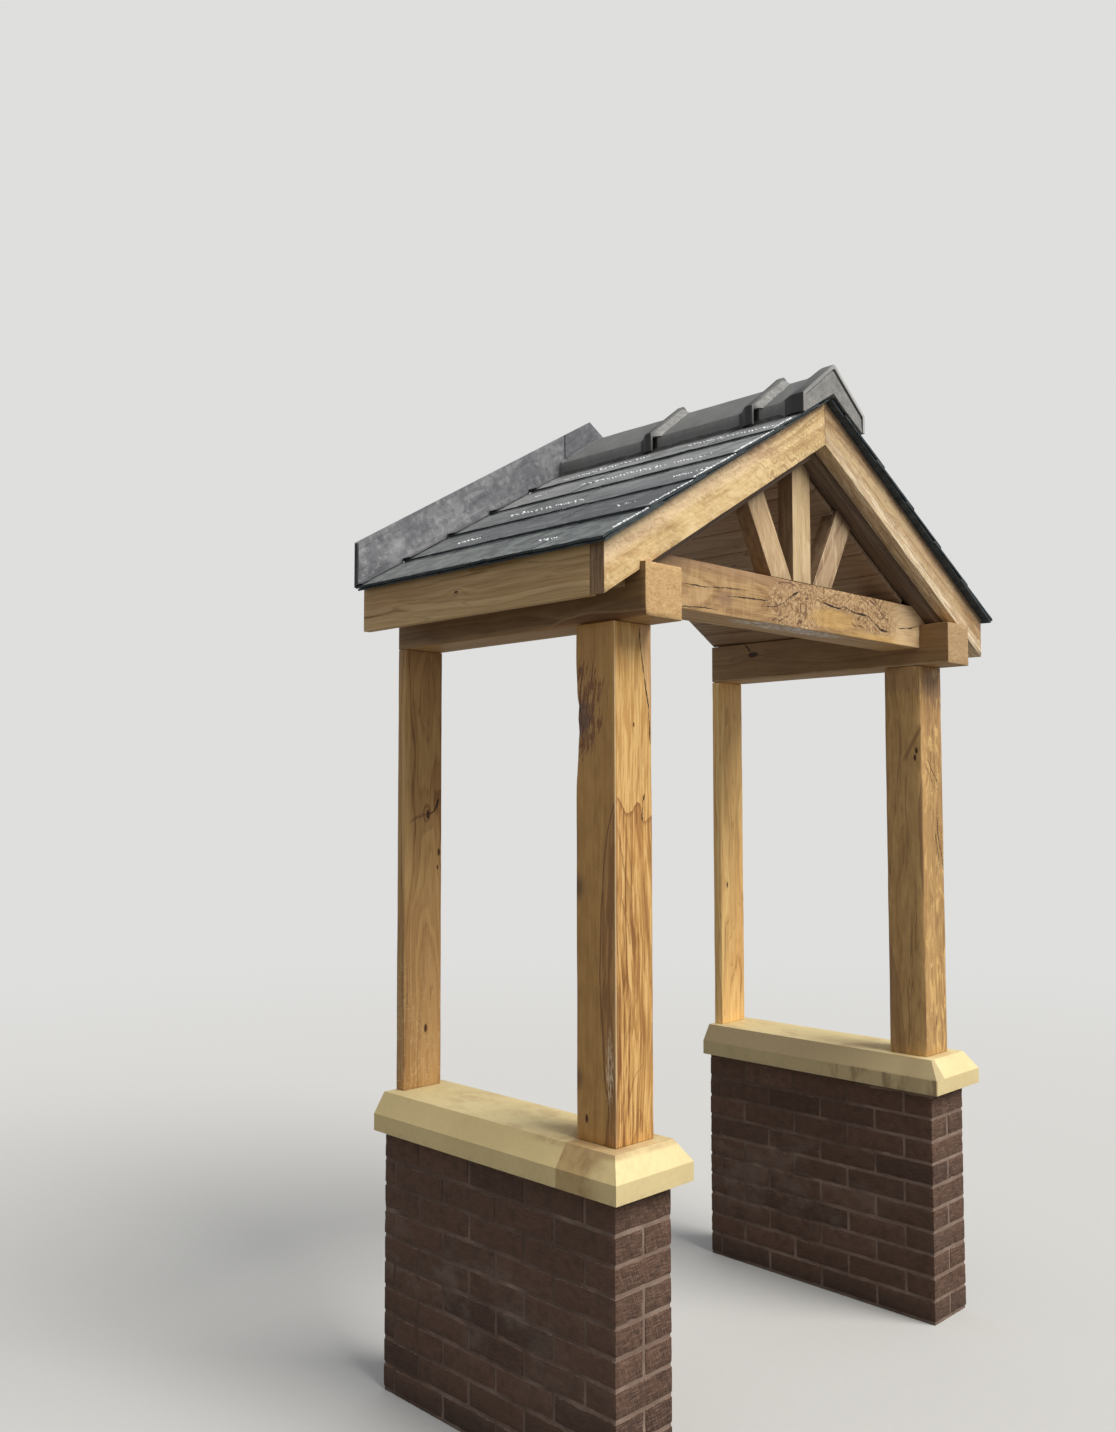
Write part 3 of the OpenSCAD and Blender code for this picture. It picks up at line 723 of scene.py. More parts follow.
# ---------------------------------------------------------------- slates
def slate_material(side):
    """Wet natural slate: riven along the courses, with painted shade black in the laps and on the butts, beads of water
    standing above each tail
    """
    g = Graph("slate_" + ("left" if side < 0 else "right"))
    tone = g.attr("tone")
    rotv = g.turn(g.P, (0, 0, 0), (0, R(-30 if side < 0 else 30), 0))
    riven = g.noise(g.v("MULTIPLY", rotv, (34, 8, 60)), 1.0, 4.0, 0.62, 0.8)
    fine = g.noise(g.v("MULTIPLY", rotv, (190, 50, 300)), 1.0, 3.0, 0.6)
    x, y, z = g.xyz(g.P)
    nx, ny, nz = g.normal()
    col = g.ramp(tone, [(0.0, (0.046, 0.052, 0.058)), (0.5, (0.078, 0.086, 0.093)), (1.0, (0.120, 0.130, 0.134))])
    col = g.mix(g.span(riven, 0.47, 0.70, 0, 0.62), col, (0.225, 0.241, 0.245))
    col = g.mix(g.span(riven, 0.48, 0.33, 0, 0.58), col, (0.026, 0.030, 0.034))
    col = g.mix(g.span(fine, 0.55, 0.72, 0, 0.45), col, (0.290, 0.305, 0.300))
    # distance down the slope, and how far up the course from its tail
    s_down = g.m("MULTIPLY_ADD", g.m("ABSOLUTE", x), 1 / C30, -0.0092)
    t = g.m("FRACT", g.m("MULTIPLY_ADD", s_down, -1 / SLATE_GAUGE, SLATE_EAVES / SLATE_GAUGE + 0.012))
    wav = g.noise(g.v("MULTIPLY", g.P, (30, 22, 30)), 1.0, 3.0, 0.6)
    w = g.m("SUBTRACT", wav, 0.5)
    # painted sheen: the upper courses paler; painted reflection: the lowest course lighter and greenish
    col = g.mix(g.m("MULTIPLY", g.span(z, 2.58, 2.80, 0, 0.76), g.span(riven, 0.28, 0.62, 0.38, 1.0)), col, (0.405, 0.415, 0.412))
    low = g.m("MULTIPLY", g.span(s_down, 0.955, 0.985), g.span(wav, 0.40, 0.62))
    col = g.mix(g.m("MULTIPLY", low, 0.70), col, g.mix(riven, (0.130, 0.150, 0.132), (0.330, 0.372, 0.330)))
    # painted shadow: a black ragged line under each tail, and painted shade near black on the butt and side faces
    lap = g.span(g.m("MULTIPLY_ADD", w, 0.120, t), 0.912, 0.950)
    col = g.mix(g.m("MULTIPLY", lap, 0.90), col, (0.008, 0.009, 0.010))
    # painted shade: darker in the band just below the ridge foot
    head = g.span(g.m("MULTIPLY_ADD", w, 0.05, s_down), 0.222, 0.190)
    col = g.mix(g.m("MULTIPLY", head, 0.75), col, (0.020, 0.021, 0.022))
    butt = g.m("MULTIPLY_ADD", nx, float(side) * C30, g.m("MULTIPLY", nz, -S30))
    shaded_butt_faces = g.m("MAXIMUM", g.span(butt, 0.55, 0.8), g.span(g.m("ABSOLUTE", ny), 0.6, 0.85))
    col = g.mix(g.m("MULTIPLY", shaded_butt_faces, 0.98), col, g.mix(riven, (0.002, 0.0022, 0.0026), (0.009, 0.0095, 0.0105)))
    # a paler dressed rim just above the tail
    rim = g.m("MULTIPLY", g.span(g.m("MULTIPLY_ADD", w, 0.02, t), 0.075, 0.050), g.span(wav, 0.50, 0.62))
    col = g.mix(g.m("MULTIPLY", rim, 0.55), col, (0.300, 0.315, 0.312))
    h = g.m("MULTIPLY_ADD", riven, 1.8, g.m("MULTIPLY", fine, 0.6))
    ro = g.m("MULTIPLY_ADD", riven, 0.34, 0.16)
    ro = g.m("MULTIPLY_ADD", shaded_butt_faces, g.m("SUBTRACT", 0.92, ro), ro)
    g.bsdf.inputs["Specular IOR Level"].default_value = 0.42
    return g.finish(col, ro, g.bump(h, 0.9, 0.0018))


def slate_edge_material():
    g = Graph("slate_edge")
    n = g.noise(g.v("MULTIPLY", g.P, (26, 26, 60)), 1.0, 4.0, 0.6)
    f = g.noise(g.P, 320.0, 3.0, 0.6)
    col = g.ramp(n, [(0.30, (0.027, 0.034, 0.040)), (0.55, (0.054, 0.066, 0.073)), (0.75, (0.094, 0.108, 0.114))])
    col = g.mix(g.span(f, 0.55, 0.75, 0, 0.4), col, (0.120, 0.132, 0.136))
    g.bsdf.inputs["Specular IOR Level"].default_value = 0.22
    return g.finish(col, g.m("MULTIPLY_ADD", n, 0.2, 0.55), g.bump(f, 0.3, 0.0006))


def water_glint_material():
    # painted glint: the beads are coloured near white, standing in for light caught on the water
    g = Graph("water_beads_painted_glint")
    n = g.noise(g.P, 260.0, 3.0, 0.6)
    col = g.ramp(n, [(0.35, (0.42, 0.45, 0.47)), (0.50, (0.80, 0.83, 0.85)), (0.62, (0.96, 0.98, 1.0))])
    return g.finish(col, g.m("MULTIPLY_ADD", n, 0.20, 0.02), g.bump(n, 0.25, 0.0004))


def water_beads_painted_glint(side, surface):
    """rain standing on the slates in broken rows above the tails and along the verge, coloured near white as a painted
    glint
    """
    rng = np.random.default_rng(71 + side)
    heap = Heap()
    across = Vector((0, 1, 0))
    down = Vector((side * C30, 0, -S30))
    up = Vector((side * S30, 0, C30))

    def bead(s, y, n, a, b, h):
        x, z = sp(s, n, side)
        c = Vector((x, y, z))
        V, F = [], []
        seg = 8
        wob = [1 + rng.uniform(-0.22, 0.22) for _ in range(seg)]
        for r, k in ((1.0, -0.25), (0.92, 0.45), (0.58, 0.86)):
            for j in range(seg):
                t = 2 * math.pi * j / seg
                V.append(tuple(c + across * (a * r * wob[j] * math.cos(t)) + down * (b * r * wob[j] * math.sin(t)) + up * (h * k)))
        V.append(tuple(c + up * h))
        top = len(V) - 1
        for r in range(2):
            for j in range(seg):
                j2 = (j + 1) % seg
                F.append((r * seg + j, r * seg + j2, (r + 1) * seg + j2, (r + 1) * seg + j))
        for j in range(seg):
            F.append((2 * seg + j, 2 * seg + (j + 1) % seg, top))
        F.append(tuple(range(seg))[::-1])
        if side < 0:
            F = [f[::-1] for f in F]
        heap.add(V, F)

    for i in range(6):
        tail = SLATE_EAVES - i * SLATE_GAUGE
        lowest = i == 0
        y = out(SLATE_FRONT) + 0.010
        while y < 0.37:
            y += rng.uniform(0.0045, 0.0150)
            here = mn.noise(Vector((y * 5.5, i * 3.7, side * 2.0)))
            if here < (0.16 if lowest else -0.02):
                continue
            s = tail - SLATE_GAUGE * (0.20 + 0.34 * (0.5 + 0.9 * mn.noise(Vector((y * 2.2, i * 1.9 + 7, side))))) + rng.normal(0, 0.006)
            if s < 0.225 or s > tail - 0.012:
                continue
            k = rng.uniform(0.6, 1.25)
            bead(s, y, surface(i, s, -0.0006), 0.0037 * k, 0.0043 * k, 0.0026 * k)
    s = 0.235
    while s < SLATE_EAVES - 0.02:
        s += rng.uniform(0.0042, 0.0105)
        i = min(5, int((SLATE_EAVES - s) / SLATE_GAUGE))
        if mn.noise(Vector((s * 4.0, 2.0, side * 5.0))) < -0.16:
            continue
        k = rng.uniform(0.65, 1.2)
        bead(s, out(SLATE_FRONT) + rng.uniform(0.0065, 0.011), surface(i, s, -0.0008), 0.0041 * k, 0.0047 * k, 0.0030 * k)
    name = "left" if side < 0 else "right"
    place(heap.object(name + "_slate_water_glints", MATS["water"], 60), "slate", name + "_slates")


def edge_faces(obj):
    """the verge edges and the undersides get their own dark matt material"""
    obj.data.materials.append(MATS["slate_edge"])
    for f in obj.data.polygons:
        if abs(f.normal.y) > 0.6 or f.normal.z < -0.3:
            f.material_index = 1


def slate_slope(side):
    rng = np.random.default_rng(5 if side < 0 else 6)
    heap = Heap()
    courses = 6
    y_front, y_back = out(SLATE_FRONT), BACK

    def surface(i, s, lift):
        """height above the boarding of course i's upper face at s"""
        tail = SLATE_EAVES - i * SLATE_GAUGE
        return SLATE_TAIL + lift - (SLATE_TAIL - SLATE_HEAD) * (tail - s) / SLATE_GAUGE

    for i in range(-1, courses):
        tail = SLATE_EAVES - max(i, 0) * SLATE_GAUGE
        under = i < 0
        # widths along the eaves
        edges = [y_front]
        w = 0.254
        first = w * (0.5 if i % 2 else 1.0) + rng.uniform(-0.012, 0.012)
        e = y_front + (0.38 if under else first)
        while e < y_back - 0.07:
            edges.append(e)
            e += w + rng.uniform(-0.010, 0.010)
        edges.append(y_back - 0.003)
        for a, b in zip(edges[:-1], edges[1:]):
            gap = 0.0012
            y0 = a + (gap if a > y_front else rng.uniform(0, 0.0012))
            y1 = b - gap
            lift = 0.0 if under else rng.uniform(-0.0016, 0.0004)
            ds = 0.0 if i <= 0 else rng.uniform(-0.0035, 0.0030)
            s1 = tail + ds - (0.004 if under else 0)
            s0 = max(tail - SLATE_GAUGE - 0.050, 0.012)
            th = rng.uniform(0.0055, 0.0075)
            nu, nv = max(4, int((y1 - y0) / 0.018)), 9
            us = np.linspace(0, 1, nu + 1)
            vs = np.concatenate([np.linspace(0, 0.92, nv), [0.975, 1.0]])
            off = rng.uniform(0, 90, 2)
            top, bot = [], []
            chip = rng.uniform(0, 1) < 0.55
            cpos, cw = rng.uniform(0.1, 0.9), rng.uniform(0.03, 0.07)
            for vi, v in enumerate(vs):
                for u in us:
                    y = y0 + (y1 - y0) * u
                    s = s0 + (s1 - s0) * v
                    n = surface(max(i, 0), s, lift) if not under else 0.0068
                    n += mn.noise(Vector((y * 16 + off[0], s * 11, off[1]))) * 0.0007 + mn.noise(Vector((y * 60, s * 40 + off[0], off[1]))) * 0.00035
                    if vi == len(vs) - 1:
                        # dressed lower edge, drawn in a little and chipped
                        s -= 0.0012 + abs(mn.noise(Vector((y * 70 + off[0], 3, off[1])))) * 0.0026
                        if chip and abs(u - cpos) < cw:
                            s -= 0.005 * (1 - abs(u - cpos) / cw)
                        n -= 0.0014
                    if u in (us[0], us[-1]):
                        n -= 0.0006
                        y += (0.0007 if u == us[0] else -0.0007) * (1 + mn.noise(Vector((s * 45, off[0], 1))))
                    base = n - th
                    if v > 0.97:
                        s_b = s + 0.0006
                    else:
                        s_b = s
                    x, z = sp(s, n, side)
                    top.append((x, y, z))
                    x, z = sp(s_b, max(base, 0.0004), side)
                    bot.append((x, y, z))
            V = np.array(top + bot)
            N = len(top)
            nU, nV = len(us), len(vs)
            F = []
            for vi in range(nV - 1):
                for ui in range(nU - 1):
                    p = vi * nU + ui
                    F.append((p, p + 1, p + nU + 1, p + nU))
                    F.append((N + p, N + p + nU, N + p + nU + 1, N + p + 1))
            for vi in range(nV - 1):
                p = vi * nU
                F.append((p, p + nU, N + p + nU, N + p))
                p = vi * nU + nU - 1
                F.append((p, N + p, N + p + nU, p + nU))
            for ui in range(nU - 1):
                F.append((ui, N + ui, N + ui + 1, ui + 1))
                p = (nV - 1) * nU + ui
                F.append((p, p + 1, N + p + 1, N + p))
            if side > 0:
                F = [f[::-1] for f in F]
            V[:, 0] = np.clip(V[:, 0], CAD_BOX[0][0] + 0.0001, CAD_BOX[1][0] - 0.0001)
            heap.add(V, F, float(np.clip(rng.normal(0.5, 0.25), 0, 1)))
    name = "left" if side < 0 else "right"
    obj = heap.object(name + "_slate_courses", MATS["slate_" + name], 30)
    edge_faces(obj)
    place(obj, "slate", name + "_slates")
    water_beads_painted_glint(side, surface)
    # the laps below, closed at the verge by a thin undercloak
    a, b = sp(0.006, 0.0, side), sp(SLATE_EAVES - 0.012, 0.0, side)
    V, F = lattice_box((SLATE_EAVES - 0.020, SLATE_FRONT - 0.006, 0.0046), (8, 8, 1), 0.0008)
    rot = Matrix.Rotation(R(30) * side, 3, "Y")
    cx, cz = sp((SLATE_EAVES - 0.008) / 2, 0.0025, side)
    V = np.array([rot @ Vector(p) for p in V]) + np.array([cx, (y_front + y_back) / 2 + 0.003, cz])
    cloak = mesh_object(name + "_slate_undercloak", V, F, MATS["slate_" + name])
    edge_faces(cloak)
    place(cloak, "slate", name + "_slates")


# ---------------------------------------------------------------- ridge tiles
def tile_material():
    g = Graph("ridge_tile")
    n1 = g.noise(g.P, 14.0, 4.0, 0.6)
    n2 = g.noise(g.P, 380.0, 3.0, 0.6)
    col = g.ramp(n1, [(0.3, (0.125, 0.127, 0.124)), (0.5, (0.160, 0.162, 0.157)), (0.72, (0.205, 0.207, 0.200))])
    col = g.mix(g.span(n2, 0.55, 0.8, 0, 0.3), col, (0.26, 0.26, 0.25))
    x, y, z = g.xyz(g.P)
    runs = g.noise(g.v("MULTIPLY", g.P, (8, 42, 8)), 1.0, 3.0, 0.6)
    col = g.mix(g.span(runs, 0.52, 0.74, 0, 0.35), col, (0.060, 0.060, 0.058))
    # painted sheen: the upright faces are lightened, far more on the left than on the right
    nx = g.m("ABSOLUTE", g.normal()[0])
    upright = g.span(nx, 0.86, 0.95)
    col = g.mix(g.m("MULTIPLY", upright, g.span(x, -0.10, -0.14, 0.25, 0.72)), col, g.mix(runs, (0.160, 0.158, 0.154), (0.350, 0.345, 0.338)))
    # the raised collars are blackest, down to the foot
    collar = g.span(nx, 0.50, 0.72)
    for d, half in ((0.424, 0.034), (0.830, 0.036), (1.006, 0.038)):
        c = g.span(g.m("ABSOLUTE", g.m("SUBTRACT", y, out(d))), half + 0.003, half)
        col = g.mix(g.m("MULTIPLY", g.m("MULTIPLY", c, collar), 0.94), col, (0.011, 0.011, 0.012))
    col = g.mix(g.span(z, 2.948, 2.925, 0, 0.35), col, (0.040, 0.040, 0.038))
    # painted highlight: the front rim pale, more on the right
    rim = g.m("MULTIPLY", g.span(y, out(1.0376), out(1.0392)), g.span(g.normal()[1], -0.2, -0.5))
    col = g.mix(g.m("MULTIPLY", rim, g.span(x, -0.05, 0.05, 0.30, 0.75)), col, (0.62, 0.62, 0.61))
    h = g.m("MULTIPLY_ADD", n2, 0.5, n1)
    return g.finish(col, g.m("MULTIPLY_ADD", n1, 0.2, 0.34), g.bump(h, 0.35, 0.0010))


def bedding_material(name, dark, mid, light):
    g = Graph(name)
    n1 = g.noise(g.P, 34.0, 4.0, 0.65)
    n2 = g.noise(g.P, 420.0, 3.0, 0.65)
    x, y, z = g.xyz(g.P)
    drag = g.noise(g.v("MULTIPLY", g.P, (60, 260, 60)), 1.0, 3.0, 0.6)
    col = g.ramp(n1, [(0.25, dark), (0.5, mid), (0.75, light)])
    col = g.mix(g.span(n2, 0.5, 0.75, 0, 0.35), col, light)
    col = g.mix(g.span(drag, 0.46, 0.34, 0, 0.45), col, dark)
    h = g.m("MULTIPLY_ADD", n2, 0.7, g.m("MULTIPLY_ADD", drag, 0.8, g.m("MULTIPLY", n1, 1.6)))
    return g.finish(col, 0.82, g.bump(h, 0.8, 0.0022))


RK = (RIDGE_Z - RIDGE_EDGE) / RIDGE_HALF


def ridge_profile(r, foot):
    """outer line of the ridge section grown by r, from the left foot over the apex to the right foot"""
    q = r * math.sqrt(1 + RK * RK)
    half = RIDGE_HALF + r
    apex = Vector((0, RIDGE_Z + q))
    edge = Vector((half, RIDGE_Z + q - RK * half))
    pts = []
    foot_p = Vector((half, foot))

    def fillet(a, b, c, rad, n):
        d1, d2 = (a - b).normalized(), (c - b).normalized()
        ang = d1.angle(d2)
        t = rad / math.tan(ang / 2)
        p, q2 = b + d1 * t, b + d2 * t
        centre = b + (d1 + d2).normalized() * (rad / math.sin(ang / 2))
        res = []
        for i in range(n + 1):
            m = p.lerp(q2, i / n)
            res.append(centre + (m - centre).normalized() * rad)
        return res

    left = [Vector((-foot_p.x, foot_p.y))] + fillet(Vector((-foot_p.x, foot_p.y)), Vector((-edge.x, edge.y)), apex, 0.006, 3)
    wing = [left[-1].lerp(apex, f) for f in (0.33, 0.66)]
    top = fillet(Vector((-edge.x, edge.y)), apex, edge, 0.010, 4)
    pts = left + wing + top
    right = [Vector((-p.x, p.y)) for p in (left + wing)[::-1]]
    return pts + right


def loft(name, stations, material, sharp=40, wobble=0.0):
    """closed shell from outer and inner section pairs: stations is a list of (y, outer, inner)"""
    n = len(stations[0][1])
    V, F = [], []
    for y, o, i in stations:
        for p in o:
            V.append((p.x, y, p.y))
        for p in i:
            V.append((p.x, y, p.y))
    m = 2 * n
    for s in range(len(stations) - 1):
        a, b = s * m, (s + 1) * m
        for k in range(n - 1):
            F.append((a + k, b + k, b + k + 1, a + k + 1))
            F.append((a + n + k, a + n + k + 1, b + n + k + 1, b + n + k))
        F.append((a, a + n, b + n, b))
        F.append((a + n - 1, b + n - 1, b + 2 * n - 1, a + 2 * n - 1))
    for s, flip in ((0, False), (len(stations) - 1, True)):
        a = s * m
        for k in range(n - 1):
            f = (a + k, a + k + 1, a + n + k + 1, a + n + k)
            F.append(f[::-1] if flip else f)
    V = np.array(V)
    if wobble:
        for i, p in enumerate(V):
            w = mn.noise_vector(Vector(p) * 18) * wobble
            V[i] = p + np.array((w.x, 0, w.z))
    F = [f[::-1] for f in F]
    return mesh_object(name, V, F, material, True, sharp)


FOOT = 2.9035


def ridge():
    th = 0.012

    def tile(name, d0, d1, cap0, cap1, rise, node):
        ds = sorted(set([d0, d0 + 0.002] + list(np.linspace(d0 + 0.01, cap0, 8)) + list(np.linspace(cap0, cap1, 12)) + [cap1 + 0.003, d1 - 0.0015, d1]))
        st = []
        for d in ds:
            u = min(1, max(0, (d - cap0) / (cap1 - cap0)))
            rr = rise * (u * u * (3 - 2 * u))
            ease = 0.0012 if d in (ds[0], ds[-1]) else 0.0
            o = ridge_profile(rr - ease, FOOT)
            i = ridge_profile(rr - th + ease, FOOT)
            st.append((out(d), o, i))
        return place(loft(name, st, MATS["tile"], 40, 0.0006), "ridge_tile", *node)

    tile("ridge_tile_rear", 0.003, 0.449, 0.388, 0.430, 0.021, ("rear_ridge_tile", "rear_ridge_union"))
    tile("ridge_tile_middle", 0.440, 0.856, 0.792, 0.836, 0.021, ("middle_ridge_tile", "middle_ridge_union"))
    tile("ridge_tile_front", 0.846, 1.0395, 0.938, 1.006, 0.017, ("front_ridge_tile", "ridge_end_cap"))

    # mortar struck off below each raised collar, with drips over the upright edge
    for name, d, node in (("ridge_fillet_rear", 0.449, "rear_ridge_union"), ("ridge_fillet_middle", 0.856, "middle_ridge_union")):
        V, F = [], []
        n = 64
        rows = [(0.0, 0.0175), (0.006, 0.0155), (0.014, 0.0105), (0.022, 0.0050), (0.029, 0.0012), (0.033, -0.004)]
        prof = ridge_profile(0, FOOT)
        # walk the section between the two upright edges
        path = [Vector((p.x, p.y)) for p in prof]
        acc = [0.0]
        for a, b in zip(path[:-1], path[1:]):
            acc.append(acc[-1] + (b - a).length)

        def at(f):
            s = f * acc[-1]
            for i in range(len(acc) - 1):
                if s <= acc[i + 1] or i == len(acc) - 2:
                    u = (s - acc[i]) / max(1e-9, acc[i + 1] - acc[i])
                    p = path[i].lerp(path[i + 1], u)
                    tn = (path[i + 1] - path[i]).normalized()
                    return p, Vector((-tn.y, tn.x))
            return path[-1], Vector((1, 0))

        lo, hi = 0.098, 0.902
        for j, (dd, h) in enumerate(rows):
            for i in range(n + 1):
                f = lo + (hi - lo) * i / n
                p, nr = at(f)
                if nr.y < 0:
                    nr = -nr
                edge = min(i, n - i) / n
                k = mn.noise(Vector((f * 26, j * 0.7, d * 9)))
                hh = h + k * 0.0022 * (j > 0)
                reach = dd * (1 + 0.22 * mn.noise(Vector((f * 17, 5, d * 7)))) if j else 0
                if edge < 0.012:
                    hh = min(hh, 0.010)
                    reach *= 1.25
                q = p + nr * hh
                V.append((q.x, out(d - 0.004 + reach), q.y))
        # back row closes against the collar
        for j in range(len(rows) - 1):
            for i in range(n):
                a = j * (n + 1) + i
                F.append((a, a + 1, a + n + 2, a + n + 1))
        base = len(V)
        for i in range(n + 1):
            f = lo + (hi - lo) * i / n
            p, nr = at(f)
            if nr.y < 0:
                nr = -nr
            q = p - nr * 0.004
            V.append((q.x, out(d - 0.004), q.y))
            V.append((q.x, out(d + 0.026), q.y))
        for i in range(n):
            F.append((i, base + 2 * i, base + 2 * i + 2, i + 1))
            a = (len(rows) - 1) * (n + 1) + i
            F.append((a, a + 1, base + 2 * i + 3, base + 2 * i + 1))
            F.append((base + 2 * i, base + 2 * i + 1, base + 2 * i + 3, base + 2 * i + 2))
        for i, rev in ((0, False), (n, True)):
            col = [j * (n + 1) + i for j in range(len(rows))] + [base + 2 * i + 1, base + 2 * i]
            F.append(tuple(col[::-1]) if rev else tuple(col))
        obj = mesh_object(name, V, F, MATS["fillet"], True, 60)
        place(obj, "ridge_tile", node)

    # mortar pointing that fills the open front end, in from the tile's rim
    inner = ridge_profile(0.017 - th, FOOT)
    n = len(inner)
    V, F = [], []
    depth0, depth1 = 1.0345, 0.985
    half_in = inner[-1].x
    rows = 8
    for row in range(rows + 1):
        for i, p in enumerate(inner):
            zb = max(FOOT, DECK + 0.016 - abs(p.x) * T30)
            zt = max(p.y, zb + 0.0005)
            z = zb + (zt - zb) * row / rows
            w = mn.noise(Vector((p.x * 30, 0.3, z * 30))) * 0.0022 + mn.noise(Vector((p.x * 90, 2, z * 90))) * 0.0008
            V.append((p.x, out(depth0) - w if row < rows else out(depth0 - 0.002), z))
    for row in range(rows):
        for i in range(n - 1):
            a = row * n + i
            F.append((a, a + 1, a + n + 1, a + n))
    b0 = len(V)
    for row in (0, rows):
        for i, p in enumerate(inner):
            zb = max(FOOT, DECK + 0.016 - abs(p.x) * T30)
            zt = max(p.y, zb + 0.0005)
            V.append((p.x, out(depth1), zb if row == 0 else zt))
    for i in range(n - 1):
        F.append((i, b0 + i, b0 + i + 1, i + 1))
        t = rows * n + i
        F.append((t, t + 1, b0 + n + i + 1, b0 + n + i))
        F.append((b0 + i, b0 + n + i, b0 + n + i + 1, b0 + i + 1))
    place(mesh_object("ridge_end_pointing", V, F, MATS["pointing"], True, 60), "ridge_tile", "ridge_end_cap")

    # bedding squeezed out along both feet of the ridge, in a near-black copy of the ridge mortar as painted shade
    for side in (-1, 1):
        heap = Heap()
        nseg = 60
        V, F = [], []
        for i in range(nseg + 1):
            d = 0.03 + (1.030 - 0.03) * i / nseg
            x0 = RIDGE_HALF - 0.004
            reach = 0.006 + 0.004 * mn.noise(Vector((d * 14, side * 3, 0.5)))
            zs = DECK - T30 * x0 + 0.0160
            hgt = 0.006 + 0.0035 * mn.noise(Vector((d * 22, side * 7, 2.5)))
            x1 = RIDGE_HALF + max(0.0015, reach)
            z1 = DECK - T30 * x1 + 0.0155
            V += [(side * x0, out(d), zs + hgt + 0.003), (side * (RIDGE_HALF + 0.001), out(d), zs + hgt), (side * x1, out(d), z1), (side * x0, out(d), zs - 0.004)]
        for i in range(nseg):
            a = 4 * i
            for k in range(4):
                k2 = (k + 1) % 4
                f = (a + k, a + k2, a + 4 + k2, a + 4 + k)
                F.append(f if side < 0 else f[::-1])
        F.append((0, 1, 2, 3) if side > 0 else (3, 2, 1, 0))
        a = 4 * nseg
        F.append((a + 3, a + 2, a + 1, a) if side > 0 else (a, a + 1, a + 2, a + 3))
        nm = "left" if side < 0 else "right"
        place(mesh_object(nm + "_ridge_bedding", V, F, MATS["bedding"], True, 60), "ridge_tile", "middle_ridge_tile")


# ---------------------------------------------------------------- lead
def lead_material(name="lead", wet=False):
    g = Graph(name)
    n1 = g.noise(g.P, 11.0, 4.0, 0.62, 0.5)
    n2 = g.noise(g.P, 46.0, 3.0, 0.6)
    n3 = g.noise(g.P, 300.0, 2.0, 0.6)
    col = g.ramp(n1, [(0.25, (0.125, 0.126, 0.140)), (0.45, (0.200, 0.201, 0.218)), (0.62, (0.300, 0.302, 0.318)), (0.80, (0.430, 0.432, 0.446))])
    col = g.mix(g.span(n2, 0.52, 0.66, 0, 0.50), col, (0.110, 0.107, 0.125))
    col = g.mix(g.span(n2, 0.44, 0.34, 0, 0.40), col, (0.450, 0.452, 0.470))
    col = g.mix(g.span(n3, 0.60, 0.80, 0, 0.25), col, (0.36, 0.36, 0.37))
    x, y, z = g.xyz(g.P)
    if wet:
        col = g.mix(0.62, col, g.mix(n2, (0.050, 0.051, 0.058), (0.110, 0.112, 0.122)))
    else:
        # streaks that follow the slope, darker toward the ridge and on the ridge piece, and the seam of a lap near the
        # top
        sweep = g.noise(g.v("MULTIPLY", g.turn(g.P, (0, 0, 0), (0, R(-30), 0)), (6, 20, 46)), 1.0, 4.0, 0.62)
        col = g.mix(g.span(sweep, 0.55, 0.70, 0, 0.40), col, (0.46, 0.465, 0.49))
        col = g.mix(g.span(sweep, 0.45, 0.33, 0, 0.45), col, (0.085, 0.084, 0.098))
        ax = g.m("ABSOLUTE", x)
        lap = g.span(g.m("ABSOLUTE", g.m("SUBTRACT", ax, 0.1275)), 0.0030, 0.0014)
        col = g.mix(g.m("MULTIPLY", lap, 0.85), col, (0.020, 0.020, 0.024))
        col = g.mix(g.span(ax, 0.60, 0.20, 0, 0.22), col, (0.120, 0.120, 0.134))
        col = g.mix(g.span(ax, 0.130, 0.126, 0, 0.30), col, (0.110, 0.110, 0.125))
    h = g.m("MULTIPLY_ADD", n2, 0.8, g.m("MULTIPLY", n1, 1.6))
    return g.finish(col, g.m("MULTIPLY_ADD", n2, -0.2, 0.58), g.bump(h, 0.5, 0.0022), 0.35)


def slate_top(x):
    """height of the slates' upper face at |x|, following the courses"""
    x = abs(x)
    # s on the surface for this x, by a few fixed-point steps
    s = x / C30
    n = SLATE_HEAD
    for _ in range(6):
        i = max(0, min(5, int((SLATE_EAVES - s) // SLATE_GAUGE)))
        tail = SLATE_EAVES - i * SLATE_GAUGE
        n = SLATE_TAIL - (SLATE_TAIL - SLATE_HEAD) * (tail - s) / SLATE_GAUGE
        s = (x - n * S30) / C30
    return DECK - s * S30 + n * C30


